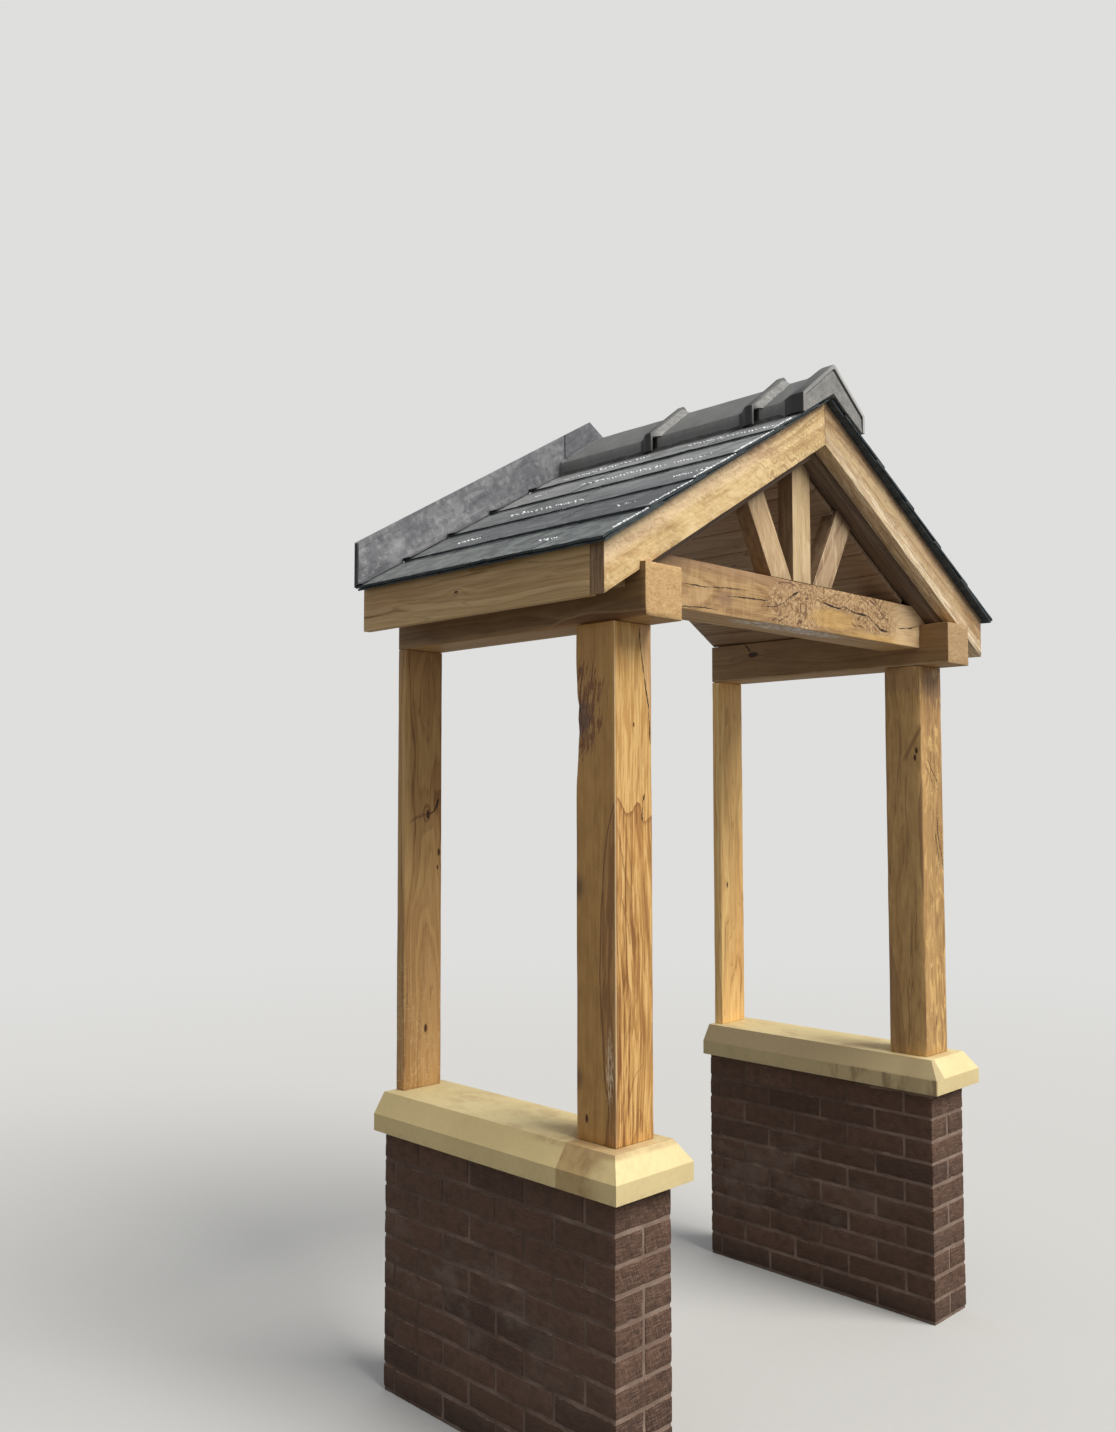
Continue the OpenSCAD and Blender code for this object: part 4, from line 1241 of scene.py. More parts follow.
def lead_sheet(name, xs, top, bottom, y_face, node, bead=True):
    """upright lead against the back plane between |x| stations, dressed down to the covering"""
    side = 1 if sum(xs) > 0 else -1
    V, F = [], []
    nv = 12
    for x in xs:
        zt, zb = top(x), bottom(x)
        for j in range(nv + 1):
            f = j / nv
            z = zb + (zt - zb) * f
            w = 0.5 + 0.5 * mn.noise(Vector((x * 9, z * 11, 1.7)))
            w2 = 0.5 + 0.5 * mn.noise(Vector((x * 34, z * 30, 7.7)))
            y = y_face - 0.0016 * w - 0.0006 * w2
            if j == 0:
                y = y_face + 0.0002
            if bead and f > 0.93:
                y = y_face - 0.0034
            if j == nv:
                y = y_face - 0.001
            V.append((x, y, z))
    m = nv + 1
    for i in range(len(xs) - 1):
        for j in range(nv):
            a = i * m + j
            F.append((a, a + m, a + m + 1, a + 1))
    base = len(V)
    for x in xs:
        V.append((x, BACK, bottom(x)))
        V.append((x, BACK, top(x)))
    for i in range(len(xs) - 1):
        F.append((i * m, base + 2 * i, base + 2 * i + 2, (i + 1) * m))
        F.append((i * m + nv, (i + 1) * m + nv, base + 2 * i + 3, base + 2 * i + 1))
        F.append((base + 2 * i, base + 2 * i + 1, base + 2 * i + 3, base + 2 * i + 2))
    for i, rev in ((0, True), (len(xs) - 1, False)):
        c = [i * m + j for j in range(m)] + [base + 2 * i + 1, base + 2 * i]
        F.append(tuple(c[::-1]) if rev else tuple(c))
    # counter-clockwise from outside when xs rises; flip when it falls
    if xs[-1] < xs[0]:
        F = [f[::-1] for f in F]
    obj = mesh_object(name, V, F, MATS["lead"], True, 40)
    return place(obj, "lead", node)


def lead():
    for side in (-1, 1):
        nm = "left" if side < 0 else "right"
        xs = sorted(side * x for x in np.linspace(LEAD_LAP - 0.012, LEAD_OUT, 110))
        lead_sheet(nm + "_lead_upstand", xs, lambda x: LEAD_Z - T30 * abs(x), lambda x: slate_top(x) - 0.0070, BACK - 0.0040, nm + "_flashing")
        # strips turned out onto each course and lifting at its tail
        heap = Heap()
        for i in range(6):
            tail = SLATE_EAVES - i * SLATE_GAUGE
            head = max(tail - SLATE_GAUGE + 0.012, 0.165)
            if tail < 0.2:
                continue
            pts = []
            n = 14
            for k in range(n + 1):
                f = k / n
                s = head + (tail - 0.002 - head) * f
                nn = SLATE_TAIL - (SLATE_TAIL - SLATE_HEAD) * (tail - s) / SLATE_GAUGE
                lift = 0.0006 + 0.004 * max(0, f - 0.75) / 0.25 * (0.4 + 0.6 * abs(mn.noise(Vector((i * 3.1, side, 4)))))
                wid = 0.003 + 0.034 * f ** 1.3 + 0.002 * mn.noise(Vector((s * 21, i, side)))
                pts.append((s, nn + lift, wid))
            V, F = [], []
            for s, nn, wid in pts:
                for yy, up in ((BACK - 0.0035, 0.0050), (BACK - 0.0060, 0.0026), (BACK - 0.0060 - wid * 0.6, 0.0022), (BACK - 0.0060 - wid, 0.0018),
                               (BACK - 0.0060 - wid, 0.0002), (BACK - 0.0035, 0.0002)):
                    x, z = sp(s, nn + up, side)
                    V.append((x, yy, z))
            for a in range(len(pts) - 1):
                for b in range(6):
                    c = (b + 1) % 6
                    f4 = (a * 6 + b, a * 6 + c, (a + 1) * 6 + c, (a + 1) * 6 + b)
                    F.append(f4 if side > 0 else f4[::-1])
            F.append(tuple(range(6))[::-1] if side > 0 else tuple(range(6)))
            e = (len(pts) - 1) * 6
            F.append(tuple(e + b for b in range(6)) if side > 0 else tuple(e + b for b in range(6))[::-1])
            V = np.array(V)
            V[:, 0] = np.clip(V[:, 0], CAD_BOX[0][0] + 0.0002, CAD_BOX[1][0] - 0.0002)
            heap.add(V, F, 0.5)
        place(heap.object(nm + "_lead_turned_edge", MATS["lead_wet"], 40), "lead", nm + "_flashing")
        # folded return at the eaves end, in near-black lead as painted shade
        V, F = lattice_box((0.006, 0.015, 0.128), (1, 3, 8), 0.0015)
        xr = side * (LEAD_OUT - 0.002)
        V = V + np.array([xr, BACK - 0.0078, LEAD_Z - T30 * LEAD_OUT - 0.066])
        place(mesh_object(nm + "_lead_return", V, F, MATS["lead_dark"]), "lead", nm + "_flashing")

    # saddle over the ridge: upstand and an apron that narrows to the ridge edges
    def on_ridge(x):
        return RIDGE_Z - RK * abs(x)

    xs = list(np.linspace(-LEAD_LAP, LEAD_LAP, 51))
    lead_sheet("ridge_lead_upstand", xs, lambda x: LEAD_Z - T30 * abs(x), lambda x: on_ridge(x) + 0.0005, BACK - 0.0062, "ridge_flashing")
    V, F = [], []
    xa = list(np.linspace(-0.150, 0.150, 41))
    ny = 5
    for x in xa:
        depth = 0.006 + 0.052 * max(0.0, 1 - abs(x) / 0.152)
        for j in range(ny + 1):
            f = j / ny
            lift = 0.0022 + 0.0008 * mn.noise(Vector((x * 30, f * 3, 2)))
            if j == ny:
                lift = 0.0016
            V.append((x, BACK - 0.004 - depth * f, on_ridge(x) - (0.0042 if abs(x) < 0.006 else 0) + lift * math.sqrt(1 + RK * RK)))
    m = ny + 1
    nT = len(V)
    V += [(p[0], p[1], p[2] - 0.0024) for p in V[:nT]]
    for i in range(len(xa) - 1):
        for j in range(ny):
            a = i * m + j
            F.append((a, a + 1, a + m + 1, a + m))
            F.append((nT + a, nT + a + m, nT + a + m + 1, nT + a + 1))
        a = i * m + ny
        F.append((a, nT + a, nT + a + m, a + m))
        a = i * m
        F.append((a, a + m, nT + a + m, nT + a))
    for i, rev in ((0, False), (len(xa) - 1, True)):
        for j in range(ny):
            a = i * m + j
            f4 = (a, nT + a, nT + a + 1, a + 1)
            F.append(f4[::-1] if rev else f4)
    F = [f[::-1] for f in F]
    place(mesh_object("ridge_lead_apron", V, F, MATS["lead"], True, 50), "lead", "ridge_flashing")


# ---------------------------------------------------------------- boards of the ceiling and the roof
def plank(heap, p0, p1, across, up, width, thick, r=0.0015, tone=0.5, seed=0, step=0.06):
    """a board from p0 to p1, across and up are unit vectors"""
    p0, p1 = Vector(p0), Vector(p1)
    w = (p1 - p0)
    length = w.length
    w.normalize()
    V, F = lattice_box((width, thick, length), (3, 1, max(2, int(length / step))), r)
    mat = Matrix((Vector(across), Vector(up), w)).transposed()
    if mat.determinant() < 0:
        F = [f[::-1] for f in F]
    c = (p0 + p1) / 2
    o = []
    for p in V:
        k = mn.noise(Vector((p[0] * 9 + seed * 5, p[1] * 9, p[2] * 3 + seed))) * 0.0006
        o.append(tuple(c + mat @ Vector((p[0], p[1] - abs(k), p[2]))))
    heap.add(o, F, tone)


def ceiling(side):
    """tongued boards along the porch, seams open a little on the underside"""
    nm = "left" if side < 0 else "right"
    heap = Heap()
    rng = np.random.default_rng(31 + side)
    run = (CEIL - 2.3685) / S30
    s = 0.004
    i = 0
    across = Vector((side * C30, 0, -S30))
    up = Vector((side * S30, 0, C30))
    while s < run - 0.01:
        w = min(0.1075 + rng.uniform(-0.003, 0.003), run - s)
        mid = s + w / 2
        x, z = side * mid * C30, CEIL - mid * S30
        c = Vector((x, 0, z)) + up * (0.009 + 0.0003)
        tone = float(rng.uniform(0.2, 0.8))
        cut = (CEIL - 2.4305) / S30
        front = 0.899 if s + w <= cut else 0.774
        plank(heap, (c.x, BACK - 0.001, c.z), (c.x, out(front), c.z), across, up, w - 0.0022, 0.018, 0.0022, tone, i * 1.7 + side)
        if s < cut - 0.004 < s + w:
            # this board runs on over the tie beam, notched round it
            m = (s + cut) / 2
            c = Vector((side * m * C30, 0, CEIL - m * S30)) + up * 0.0093
            plank(heap, (c.x, out(0.770), c.z), (c.x, out(0.899), c.z), across, up, cut - s - 0.0022, 0.0178, 0.0022, tone, i * 1.7 + side)
        s += w
        i += 1
    place(heap.object(nm + "_ceiling_planks", MATS["ceiling_" + nm], 40), "ceiling_oak", nm + "_ceiling_boards")


def roof_deck(side):
    nm = "left" if side < 0 else "right"
    heap = Heap()
    rng = np.random.default_rng(41 + side)
    s, i = 0.002, 0
    across = Vector((side * C30, 0, -S30))
    up = Vector((side * S30, 0, C30))
    run = 0.966 / C30
    while s < run - 0.004:
        w = min(0.146, run - s)
        mid = s + w / 2
        c = Vector((side * mid * C30, 0, DECK - mid * S30)) - up * 0.0092
        plank(heap, (c.x, BACK - 0.001, c.z), (c.x, out(0.953), c.z), across, up, w - 0.003, 0.0176, 0.0012, float(rng.uniform(0.2, 0.8)), i + 7 * side)
        s += w
        i += 1
    place(heap.object(nm + "_roof_planks", MATS["softwood"], 40), "roof_timber", nm + "_roof_boards")


def softwood_material():
    g = Graph("roof_timber")
    Ls = g.P
    grain = g.noise(g.v("MULTIPLY", Ls, (160, 6, 160)), 1.0, 3.0, 0.6)
    broad = g.noise(g.v("MULTIPLY", Ls, (7, 2, 7)), 1.0, 2.0, 0.5)
    col = g.ramp(g.m("MULTIPLY_ADD", grain, 0.6, g.m("MULTIPLY", broad, 0.4)), [(0.3, (0.50, 0.36, 0.20)), (0.5, (0.42, 0.28, 0.145)), (0.7, (0.28, 0.175, 0.085))])
    return g.finish(col, 0.7, g.bump(grain, 0.5, 0.0010))


def leaning_softwood(name, rot):
    g = Graph(name)
    L = g.turn(g.P, (0, 0, 0), rot)
    grain = g.noise(g.v("MULTIPLY", L, (160, 160, 6)), 1.0, 3.0, 0.6)
    broad = g.noise(g.v("MULTIPLY", L, (7, 7, 2)), 1.0, 2.0, 0.5)
    col = g.ramp(g.m("MULTIPLY_ADD", grain, 0.6, g.m("MULTIPLY", broad, 0.4)), [(0.3, (0.50, 0.36, 0.20)), (0.5, (0.42, 0.28, 0.145)), (0.7, (0.28, 0.175, 0.085))])
    return g.finish(col, 0.7, g.bump(grain, 0.5, 0.0010))


# ---------------------------------------------------------------- floor
def floor():
    g = Graph("studio_floor")
    f = g.noise(g.P, 40.0, 3.0, 0.6)
    pale = g.ramp(f, [(0.3, (0.600, 0.600, 0.592)), (0.7, (0.612, 0.612, 0.604))])
    # pale to look at, but a dim light on what stands on it; far out it runs into the backdrop
    path = g.nt.nodes.new("ShaderNodeLightPath")
    col = g.mix(path.outputs["Is Camera Ray"], (0.22, 0.215, 0.205), pale)
    mat = g.finish(col, g.m("MULTIPLY_ADD", f, 0.1, 0.80), g.bump(f, 0.1, 0.001))
    glow = g.nt.nodes.new("ShaderNodeEmission")
    glow.inputs["Color"].default_value, glow.inputs["Strength"].default_value = (0.80, 0.80, 0.79, 1), 0.92
    far = g.m("MULTIPLY", g.span(g.v("LENGTH", g.P), 2.5, 11.0), path.outputs["Is Camera Ray"])
    both = g.nt.nodes.new("ShaderNodeMixShader")
    end = next(n for n in g.nt.nodes if n.type == "OUTPUT_MATERIAL")
    g.put(both.inputs[0], far)
    g.nt.links.new(g.bsdf.outputs[0], both.inputs[1])
    g.nt.links.new(glow.outputs[0], both.inputs[2])
    g.nt.links.new(both.outputs[0], end.inputs[0])
    bm = bmesh.new()
    bmesh.ops.create_circle(bm, cap_ends=True, segments=96, radius=60)
    me = bpy.data.meshes.new("studio_floor")
    bm.to_mesh(me)
    bm.free()
    me.materials.append(mat)
    obj = bpy.data.objects.new("studio_floor", me)
    bpy.context.scene.collection.objects.link(obj)
    obj.location.z = -0.0005


camera()
studio()

# ---------------------------------------------------------------- materials
MATS = {
    "brick": brick_material(),
    "mortar_left": mortar_material("mortar_left", -1),
    "mortar_right": mortar_material("mortar_right", 1),
    "slate_left": slate_material(-1),
    "slate_right": slate_material(1),
    "slate_edge": slate_edge_material(),
    "water": water_glint_material(),
    "tile": tile_material(),
    "fillet": bedding_material("ridge_mortar_fillet", (0.190, 0.187, 0.180), (0.300, 0.297, 0.288), (0.430, 0.428, 0.418)),
    "pointing": bedding_material("ridge_mortar_end", (0.185, 0.182, 0.172), (0.265, 0.262, 0.250), (0.350, 0.346, 0.332)),
    # painted shade: the foot bedding is a near-black copy of the ridge mortar
    "bedding": bedding_material("ridge_mortar_foot", (0.022, 0.021, 0.020), (0.050, 0.048, 0.046), (0.105, 0.102, 0.098)),
    "lead": lead_material(),
    "lead_wet": lead_material("lead_wet", True),
    "softwood": softwood_material(),
}


def dark_lead():
    # painted shade: near-black lead for the folded return
    g = Graph("lead_dark")
    n1 = g.noise(g.P, 60.0, 4.0, 0.6)
    col = g.ramp(n1, [(0.3, (0.020, 0.021, 0.024)), (0.7, (0.060, 0.061, 0.066))])
    return g.finish(col, 0.5, g.bump(n1, 0.5, 0.002), 0.3)


MATS["lead_dark"] = dark_lead()

POST_L, POST_D = (0.62, 0.355, 0.112), (0.35, 0.160, 0.045)
TIE_L, TIE_D = (0.50, 0.315, 0.145), (0.265, 0.140, 0.056)
PLATE_L, PLATE_D = (0.50, 0.310, 0.130), (0.27, 0.145, 0.055)
BARGE_L, BARGE_D = (0.74, 0.535, 0.260), (0.43, 0.255, 0.105)
KING_L, KING_D = (0.58, 0.425, 0.235), (0.36, 0.225, 0.110)
FASCIA_L, FASCIA_D = (0.56, 0.365, 0.165), (0.32, 0.185, 0.072)
CEIL_L, CEIL_D = (0.405, 0.242, 0.124), (0.225, 0.122, 0.059)
CEIL_RL, CEIL_RD = (0.385, 0.262, 0.165), (0.212, 0.132, 0.080)


def soft_spot(g, centre, size, wob, ragged=0.8, inner=0.45):
    """0 to 1 inside a ragged ellipsoid"""
    d = g.v("LENGTH", g.v("MULTIPLY", g.v("SUBTRACT", g.P, centre), tuple(1 / q for q in size)))
    return g.span(g.m("MULTIPLY_ADD", g.m("SUBTRACT", wob, 0.5), ragged, d), 1.0, inner)


def fl_post_extra(g, col, fac, slow):
    x, y, z = g.xyz(g.P)
    wob = g.noise(g.v("MULTIPLY", g.P, (40, 40, 14)), 1.0, 3.0, 0.6)
    w = g.m("SUBTRACT", wob, 0.5)
    on_front = g.span(y, -0.384, -0.391)
    # front face: pale smooth wood down to a ragged line, deeper, redder and wildly grained below it
    zb, _ = g.curve(x, [(-0.857, 1.770), (-0.841, 1.759), (-0.823, 1.740), (-0.811, 1.727), (-0.791, 1.729), (-0.780, 1.743), (-0.765, 1.752),
                        (-0.753, 1.722), (-0.744, 1.701), (-0.730, 1.711), (-0.712, 1.720)])
    diff = g.m("SUBTRACT", g.m("MULTIPLY_ADD", w, 0.024, z), zb)
    high = g.m("MULTIPLY", g.span(diff, -0.002, 0.004), on_front)
    low = g.m("MULTIPLY", g.span(diff, 0.002, -0.003), on_front)
    feather = g.noise(g.v("MULTIPLY", g.v("ADD", g.P, g.v("SCALE", g.v("SUBTRACT", slow, (0.5, 0.5, 0.5)), scale=0.05)), (130, 60, 8)), 1.0, 4.0, 0.66)
    col = g.mix(g.m("MULTIPLY", high, 0.66), col, g.mix(g.span(feather, 0.40, 0.60), (0.86, 0.580, 0.235), (0.52, 0.280, 0.085)))
    flames = g.noise(g.v("MULTIPLY", g.v("ADD", g.P, g.v("SCALE", g.v("SUBTRACT", slow, (0.5, 0.5, 0.5)), scale=0.085)), (105, 60, 4.2)), 1.0, 4.0, 0.64)
    col = g.mix(g.m("MULTIPLY", low, 0.58), col, g.mix(g.span(flames, 0.42, 0.58), (0.680, 0.385, 0.125), (0.330, 0.142, 0.042)))
    wild = g.span(g.m("MULTIPLY_ADD", w, 0.10, x), -0.760, -0.810, 0.25, 1.0)
    col = g.mix(g.m("MULTIPLY", g.m("MULTIPLY", g.m("MULTIPLY", low, wild), g.span(flames, 0.53, 0.59)), 0.72), col, (0.185, 0.070, 0.020))
    col = g.mix(g.m("MULTIPLY", g.m("MULTIPLY", low, g.span(flames, 0.46, 0.39)), 0.50), col, (0.86, 0.590, 0.265))
    edge = g.m("MULTIPLY", g.span(diff, -0.016, -0.001), g.span(diff, 0.002, 0.0))
    col = g.mix(g.m("MULTIPLY", g.m("MULTIPLY", edge, on_front), 0.58), col, (0.235, 0.092, 0.028))
    # pinker wood past the long check
    xc, _ = g.curve(z, [(1.905, -0.7175), (1.976, -0.722), (2.016, -0.726), (2.067, -0.738), (2.122, -0.747), (2.172, -0.756), (2.226, -0.760)])
    pink = g.m("MULTIPLY", g.m("MULTIPLY", g.span(g.m("SUBTRACT", x, xc), 0.0, 0.004), g.span(z, 1.90, 1.93)), on_front)
    col = g.mix(g.m("MULTIPLY", pink, 0.55), col, g.mix(fac, (0.66, 0.430, 0.250), (0.44, 0.230, 0.110)))
    # left face: planed and quiet, then a heartwood stripe along the front arris with a fine dark edge
    on_left = g.span(x, -0.846, -0.853)
    col = g.mix(g.m("MULTIPLY", on_left, 0.74), col, g.mix(g.span(wob, 0.35, 0.65), (0.530, 0.295, 0.098), (0.425, 0.228, 0.073)))
    ys, _ = g.curve(z, [(0.878, -0.352), (0.918, -0.363), (0.985, -0.367), (1.019, -0.358), (1.085, -0.351), (1.187, -0.345), (1.239, -0.341), (1.311, -0.338),
                        (1.380, -0.341), (1.432, -0.341), (1.511, -0.347), (1.605, -0.356), (1.669, -0.365), (1.709, -0.377), (1.743, -0.388), (1.775, -0.400)])
    past = g.m("SUBTRACT", g.m("MULTIPLY_ADD", w, 0.006, ys), y)
    on_stripe = g.m("MULTIPLY", on_left, g.span(z, 1.775, 1.74))
    col = g.mix(g.m("MULTIPLY", g.m("MULTIPLY", g.span(past, 0.0, 0.002), on_stripe), 0.72), col, g.mix(g.span(flames, 0.44, 0.57), (0.490, 0.255, 0.093), (0.245, 0.112, 0.039)))
    col = g.mix(g.m("MULTIPLY", g.m("MULTIPLY", g.span(g.m("ABSOLUTE", past), 0.0034, 0.0012), on_stripe), 0.72), col, (0.165, 0.074, 0.026))
    # pale ragged wane inside it near the foot
    n3 = g.noise(g.v("MULTIPLY", g.P, (300, 330, 26)), 1.0, 3.0, 0.65)
    patch = soft_spot(g, (-0.857, -0.373, 1.075), (0.03, 0.017, 0.125), n3, 1.6, 0.7)
    col = g.mix(g.m("MULTIPLY", patch, g.span(n3, 0.50, 0.56, 0.0, 0.92)), col, (0.86, 0.70, 0.48))
    col = g.mix(g.m("MULTIPLY", patch, g.span(n3, 0.44, 0.38, 0.0, 0.75)), col, (0.140, 0.070, 0.035))
    # soft dark patches along the back arris
    for c, r, amount in (((-0.857, -0.252, 1.532), (0.02, 0.046, 0.055), 0.78), ((-0.857, -0.252, 1.035), (0.02, 0.040, 0.045), 0.66), ((-0.857, -0.252, 1.66), (0.02, 0.020, 0.09), 0.40)):
        col = g.mix(g.m("MULTIPLY", soft_spot(g, c, r, wob, 0.9, 0.1), amount), col, (0.125, 0.062, 0.036))
    # burr that breaks the back arris: dark reddish core, spikes up and down the grain with bright wood between
    bn = g.noise(g.v("MULTIPLY", g.v("ADD", g.P, g.v("MULTIPLY", g.vec(z, z, z), (0, 0.16, 0))), (110, 110, 17)), 1.0, 3.0, 0.62, 0.5)
    fine = g.noise(g.v("MULTIPLY", g.P, (260, 260, 40)), 1.0, 3.0, 0.65, 0.8)
    zone = soft_spot(g, (-0.857, -0.262, 2.000), (0.05, 0.092, 0.125), bn, 2.4, 0.72)
    spikes = g.span(bn, 0.535, 0.480)
    col = g.mix(g.m("MULTIPLY", zone, 0.60), col, g.mix(fine, (0.66, 0.410, 0.185), (0.42, 0.225, 0.090)))
    col = g.mix(g.m("MULTIPLY", g.m("MULTIPLY", zone, spikes), 0.95), col, g.mix(g.span(fine, 0.35, 0.65), (0.150, 0.056, 0.022), (0.345, 0.160, 0.060)))
    core = soft_spot(g, (-0.857, -0.268, 1.975), (0.03, 0.046, 0.060), fine, 1.2, 0.6)
    col = g.mix(g.m("MULTIPLY", core, 0.85), col, g.mix(g.span(fine, 0.35, 0.65), (0.085, 0.040, 0.028), (0.230, 0.130, 0.090)))
    # painted highlight: the front arris pale
    arris_highlight = g.span(g.m("ADD", g.m("ABSOLUTE", g.m("ADD", x, 0.857)), g.m("ABSOLUTE", g.m("ADD", y, 0.394))), 0.0042, 0.0022)
    return g.mix(g.m("MULTIPLY", arris_highlight, 0.62), col, (0.90, 0.71, 0.44))


def tie_extra(g, col, fac, slow):
    x, y, z = g.xyz(g.P)
    n = g.noise(g.v("MULTIPLY", g.P, (16, 16, 20)), 1.0, 3.0, 0.6, 1.8)
    w = g.m("SUBTRACT", n, 0.5)
    on_front = g.span(y, -0.380, -0.390)
    # ripple across the grain on the left half
    rip = g.noise(g.v("MULTIPLY", g.v("ADD", g.P, g.v("SCALE", g.v("SUBTRACT", slow, (0.5, 0.5, 0.5)), scale=0.05)), (58, 20, 9)), 1.0, 2.0, 0.55)
    left = g.m("MULTIPLY", g.span(x, -0.16, -0.28), on_front)
    col = g.mix(g.m("MULTIPLY", g.m("MULTIPLY", left, g.span(rip, 0.50, 0.66)), 0.38), col, (0.62, 0.415, 0.200))
    col = g.mix(g.m("MULTIPLY", g.m("MULTIPLY", left, g.span(rip, 0.48, 0.34)), 0.30), col, (0.300, 0.165, 0.070))
    # burr figure about the middle: short curling grain, dark and light together
    warp = g.v("SUBTRACT", g.noise(g.P, 26.0, 3.0, 0.6, colour=True), (0.5, 0.5, 0.5))
    pips = g.cells(g.v("ADD", g.v("MULTIPLY", g.P, (1, 0.3, 1.25)), g.v("SCALE", warp, scale=0.075)), 12.5)
    lines = g.m("SINE", g.m("MULTIPLY", g.m("MULTIPLY_ADD", n, 0.30, pips), 30.0))
    inside = g.m("MAXIMUM", soft_spot(g, (-0.030, -0.394, 2.352), (0.165, 0.06, 0.100), n, 1.1, 0.8), soft_spot(g, (0.270, -0.394, 2.405), (0.29, 0.06, 0.046), n, 1.1, 0.8))
    inside = g.m("MAXIMUM", inside, soft_spot(g, (0.440, -0.394, 2.350), (0.15, 0.06, 0.056), n, 0.9, 0.7))
    inside = g.m("MULTIPLY", inside, on_front)
    specks = g.noise(g.v("MULTIPLY", g.P, (90, 60, 110)), 1.0, 3.0, 0.68, 1.6)
    col = g.mix(g.m("MULTIPLY", inside, 0.42), col, (0.385, 0.228, 0.118))
    some = g.span(g.noise(g.P, 42.0, 2.0, 0.5), 0.42, 0.56)
    col = g.mix(g.m("MULTIPLY", g.m("MULTIPLY", inside, some), g.span(lines, 0.15, 0.95, 0, 0.60)), col, (0.150, 0.074, 0.036))
    col = g.mix(g.m("MULTIPLY", inside, g.span(lines, -0.30, -0.95, 0, 0.50)), col, (0.74, 0.540, 0.300))
    col = g.mix(g.m("MULTIPLY", inside, g.m("MULTIPLY", g.span(specks, 0.54, 0.63, 0, 0.60), g.span(n, 0.40, 0.56, 0.15, 1.0))), col, (0.110, 0.050, 0.024))
    col = g.mix(g.m("MULTIPLY", inside, g.span(specks, 0.45, 0.38, 0, 0.30)), col, (0.84, 0.640, 0.380))
    col = g.mix(g.m("MULTIPLY", inside, g.span(pips, 0.16, 0.08, 0, 0.80)), col, (0.085, 0.038, 0.020))
    # gold panel under the wavy crack and along the lower right
    gold = g.m("MAXIMUM", soft_spot(g, (0.165, -0.394, 2.330), (0.150, 0.06, 0.040), n, 0.7, 0.55), soft_spot(g, (0.44, -0.394, 2.292), (0.33, 0.06, 0.022), n, 0.7, 0.3))
    col = g.mix(g.m("MULTIPLY", g.m("MULTIPLY", gold, on_front), 0.66), col, g.mix(fac, (0.72, 0.475, 0.175), (0.56, 0.330, 0.105)))
    far = g.m("MULTIPLY", g.span(x, 0.50, 0.60), on_front)
    col = g.mix(g.m("MULTIPLY", far, 0.55), col, g.mix(fac, (0.92, 0.700, 0.430), (0.66, 0.445, 0.240)))
    # cooler brown along the top left, one old stain and a dark upper edge
    top = g.m("MULTIPLY", g.span(g.m("MULTIPLY_ADD", w, 0.05, z), 2.385, 2.415), g.span(x, 0.10, -0.20))
    col = g.mix(g.m("MULTIPLY", g.m("MULTIPLY", top, on_front), 0.50), col, (0.275, 0.155, 0.095))
    st = soft_spot(g, (-0.385, -0.394, 2.335), (0.060, 0.05, 0.034), n, 1.2, 0.3)
    col = g.mix(g.m("MULTIPLY", g.m("MULTIPLY", st, on_front), 0.52), col, (0.235, 0.130, 0.090))
    # weathered strip of wane under the beam
    face_down = g.span(g.normal()[2], -0.4, -0.7)
    col = g.mix(g.m("MULTIPLY", face_down, 0.55), col, g.mix(fac, (0.74, 0.500, 0.250), (0.46, 0.275, 0.120)))
    under = g.m("MULTIPLY", face_down, soft_spot(g, (-0.02, -0.352, 2.285), (0.36, 0.050, 0.05), n, 0.9, 0.6))
    fine = g.noise(g.v("MULTIPLY", g.P, (40, 120, 40)), 1.0, 4.0, 0.65)
    return g.mix(g.m("MULTIPLY", under, g.span(fine, 0.38, 0.56, 0.30, 0.95)), col, g.mix(g.span(fine, 0.4, 0.6), (0.42, 0.36, 0.30), (0.95, 0.90, 0.84)))


def rl_post_extra(g, col, fac, slow):
    x, y, z = g.xyz(g.P)
    wob = g.noise(g.v("MULTIPLY", g.P, (30, 30, 10)), 1.0, 3.0, 0.6)
    # redder low down, with silvery ray figure: short wavy dashes across the grain
    n = g.noise(g.v("MULTIPLY", g.P, (60, 20, 34)), 1.0, 3.0, 0.6, 2.2)
    line = g.span(g.m("ABSOLUTE", g.m("SUBTRACT", n, 0.5)), 0.022, 0.004)
    zone = g.m("MULTIPLY", g.span(z, 1.38, 1.08), g.span(wob, 0.40, 0.56))
    col = g.mix(g.span(g.m("MULTIPLY_ADD", g.m("SUBTRACT", wob, 0.5), 0.16, z), 1.50, 1.40, 0, 0.42), col, g.mix(fac, (0.50, 0.265, 0.100), (0.26, 0.120, 0.045)))
    col = g.mix(g.m("MULTIPLY", g.m("MULTIPLY", line, zone), 0.80), col, (0.80, 0.60, 0.36))
    # soft thumb-sized smudges above the knot
    for c in ((-0.827, 0.482, 2.056), (-0.805, 0.482, 2.034), (-0.769, 0.482, 2.000), (-0.725, 0.482, 2.012), (-0.829, 0.482, 1.958), (-0.769, 0.482, 1.951)):
        col = g.mix(g.m("MULTIPLY", soft_spot(g, c, (0.010, 0.03, 0.020), wob, 0.9, 0.1), 0.42), col, (0.230, 0.120, 0.060))
    # painted shade: darker toward the head, under the plate
    return g.mix(g.span(z, 2.10, 2.23, 0, 0.40), col, (0.240, 0.135, 0.075))


